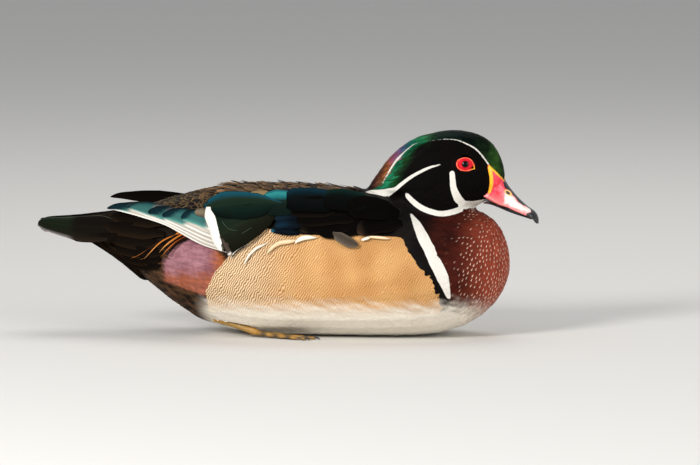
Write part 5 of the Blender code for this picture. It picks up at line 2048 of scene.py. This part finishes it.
class Foot:
    """A webbed foot with jointed, clawed toes, a hind toe and a scaly shank."""

    skin_colour = "a87a2c"
    dark_colour = "3a3020"
    claw_colour = "15110e"

    def __init__(self, side: Side, size: FootSize = FootSize()) -> None:
        """Keeps the foot's side and size."""
        self.side = side
        self.size = size

    def tube(self, path: Array, radii: Array, shades: Sequence[str], around: int = 12) -> MeshParts:
        """A closed round limb along a path, painted in rings."""
        ahead = unit(np.gradient(path, axis=0))
        across = unit(np.cross(ahead, np.array([0.0, 0.0, 1.0])))
        up = np.cross(across, ahead)
        turn = np.linspace(0, 2 * math.pi, around, endpoint=False)
        ring = across[:, None] * np.cos(turn)[:, None] + up[:, None] * np.sin(turn)[:, None]
        points = (path[:, None] + ring * radii[:, None, None]).reshape(-1, 3)
        starts = np.arange(len(path)) * around
        k = np.arange(1, around - 1)
        caps = [np.column_stack([0 * k, k, k + 1]), np.column_stack([0 * k, k + 1, k]) + starts[-1]]
        rings = shades_at(np.linspace(0, 1, len(shades)), shades, np.linspace(0, 1, len(path)))
        colour = with_gloss(np.repeat(rings, around, axis=0))
        return MeshParts(points, band_faces(starts, around), np.concatenate(caps), colour=colour)

    def toe_line(self, number: int, share: Array) -> Array:
        """Points along a toe's bones, by share of its length."""
        size = self.size
        turn = math.radians(size.turns_deg[number])
        way = np.array([math.cos(turn), math.sin(turn), 0.0])
        path = np.array(size.ankle) + share[:, None] * size.lengths[number] * way
        knuckle = 0.35 * np.abs(np.sin(math.pi * size.bones[number] * share))
        path[:, 2] = size.ankle[2] + (1.15 - size.ankle[2]) * share**0.6 + knuckle * (1 - share)
        return path

    def toe(self, number: int) -> list[MeshParts]:
        """One toe and its claw."""
        size = self.size
        share = np.linspace(0, 1, 30)
        bulge = 1 + 0.14 * np.cos(2 * math.pi * size.bones[number] * share)
        radii = size.toe_radius * (1 - 0.4 * share) * bulge
        radii[-1] = 0.25
        line = self.toe_line(number, share)
        bands = [self.skin_colour, self.dark_colour] * size.bones[number] + [self.skin_colour]
        bent = np.linspace(0, 1, 9)
        way = unit(line[-1:] - line[-3:-2])[0] * np.array([1, 1, 0])
        claw = line[-2] + bent[:, None] * way * size.claw
        claw[:, 2] += 0.5 * np.sin(math.pi * bent) - 0.75 * bent**2
        points = 0.75 * (1 - bent) ** 0.6 + 0.1
        return [self.tube(line, radii, bands), self.tube(claw, points, [self.claw_colour] * 2, 8)]

    def web(self, inner: int) -> MeshParts:
        """The skin between two toes, thin and scalloped in front."""
        size = self.size
        across, along = np.meshgrid(np.linspace(0, 1, 11), np.linspace(0.03, 1, 18), indexing="ij")
        reach = along * (size.web_reach - size.web_scallop * np.sin(math.pi * across))
        sides = [self.toe_line(inner + i, reach.ravel()).reshape(*reach.shape, 3) for i in (0, 1)]
        middle = sides[0] * (1 - across[..., None]) + sides[1] * across[..., None]
        sag = 0.35 * np.sin(math.pi * across) + 0.08 * np.sin(along * 60)
        middle[..., 2] = np.maximum(middle[..., 2] - 0.5 - sag, 0.35)
        top, low = middle.reshape(-1, 3), middle.reshape(-1, 3) - np.array([0, 0, 0.3])
        quads = sheet_faces(*across.shape)[:, ::-1]
        shade = blend("6b5426", "2a2418", np.tile(np.sin(math.pi * across.ravel()), 2))
        return MeshParts(np.concatenate([top, low]), quads, colour=with_gloss(shade))

    def build(self, effects: Effects) -> None:
        """Makes the foot's piece."""
        size = self.size
        ankle, share = np.array(size.ankle), np.linspace(0, 1, 24)
        shank = np.array(size.hock) + share[:, None] * (ankle - np.array(size.hock))
        radii = size.shank_radius * (1 - 0.22 * np.sin(math.pi * share)) * np.where(share > 0.95, 0.8, 1)
        hind = ankle + np.array([-1.0, -2.0, -0.2]) + share[:, None] * np.array([-6.5, -3.0, -1.9])
        parts = [
            self.tube(shank, radii, [self.skin_colour, "94702c", self.skin_colour], 16),
            self.tube(hind, 1.05 * (1 - 0.75 * share), [self.skin_colour] * 3 + [self.claw_colour], 10),
        ]
        for number in range(3):
            parts += self.toe(number)
        whole = joined([*parts, self.web(0), self.web(1)])
        if self.side is Side.RIGHT:
            whole.points[:, 1] *= -1
            whole.quads, whole.tris = whole.quads[:, ::-1], whole.tris[:, ::-1]
        skin = Glossy("leg_skin", rough=0.5, coat=0.1, scale=650.0, bump=0.45)
        piece = whole.build(f"webbed_foot_{self.side.label}", effects.material(skin))
        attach(piece, BODY)
        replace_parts(piece, f"leg_{self.side.label}", f"foot_{self.side.label}")


class Stage:
    """A pale floor and soft studio lights."""

    half_width: float = 12.0

    def build(self) -> None:
        """Makes floor, lights and world."""
        bm = bmesh.new()
        bmesh.ops.create_grid(bm, x_segments=1, y_segments=1, size=self.half_width)
        mesh = bpy.data.meshes.new("floor")
        bm.to_mesh(mesh)
        bm.free()
        made = bpy.data.objects.new("floor", mesh)
        bpy.context.scene.collection.objects.link(made)
        material, tree, shader = new_material("floor")
        tree.put(shader, {"Base Color": rgba("d9d6d0"), "Roughness": 0.9})
        mesh.materials.append(material)
        self.light("key_light", (-1.05, -2.1, 1.1), 0.7, 58.0)
        self.light("fill_light", (1.8, -1.6, 0.8), 1.2, 22.0)
        self.light("top_light", (0.2, 0.9, 1.8), 1.2, 12.0)
        world = bpy.data.worlds.new("studio")
        world.use_nodes = True
        sky = world.node_tree.nodes["Background"]
        NodeTree(world.node_tree).put(sky, {"Color": (0.92, 0.95, 1.0, 1.0), "Strength": 0.45})
        bpy.context.scene.world = world
        bpy.context.scene.view_settings.view_transform = "Standard"

    @staticmethod
    def light(name: str, place: tuple[float, float, float], size: float, power: float) -> None:
        """Adds a square soft light that looks at the duck."""
        data = bpy.data.lights.new(name, "AREA")
        data.size = size
        data.energy = power
        made = bpy.data.objects.new(name, data)
        made.location = place
        way = Vector(place) - Vector((0.0, 0.0, 0.08))
        made.rotation_euler = way.to_track_quat("Z", "Y").to_euler()
        bpy.context.scene.collection.objects.link(made)


def main() -> None:
    """Builds every piece in order and reports the triangles of the skin, the coat and the large feathers."""
    logging.basicConfig(level=logging.INFO, format="%(name)s: %(message)s")
    rng = np.random.default_rng(SEED)
    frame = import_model()
    FRAME_NODES.update(frame["nodes"])
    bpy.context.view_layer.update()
    SHEET.camera()
    Stage().build()
    effects = Effects()
    markings = Markings()
    skin = Skin(markings)
    eyes = [Eye(side) for side in Side]
    skin.build(effects, eyes)
    LOG.info("skin: %d triangles", 2 * len(skin.quads))
    bill = Bill()
    bill.build(effects)
    for eye in eyes:
        eye.build(effects, skin)

    def bare(points: Array) -> Array:
        return np.any([part.covers(points) for part in (bill, *eyes)], axis=0)

    Coat(skin, markings, bare).build(effects, rng)
    BigFeathers().build(effects)
    for side in Side:
        Foot(side).build(effects)


if __name__ == "__main__":
    main()
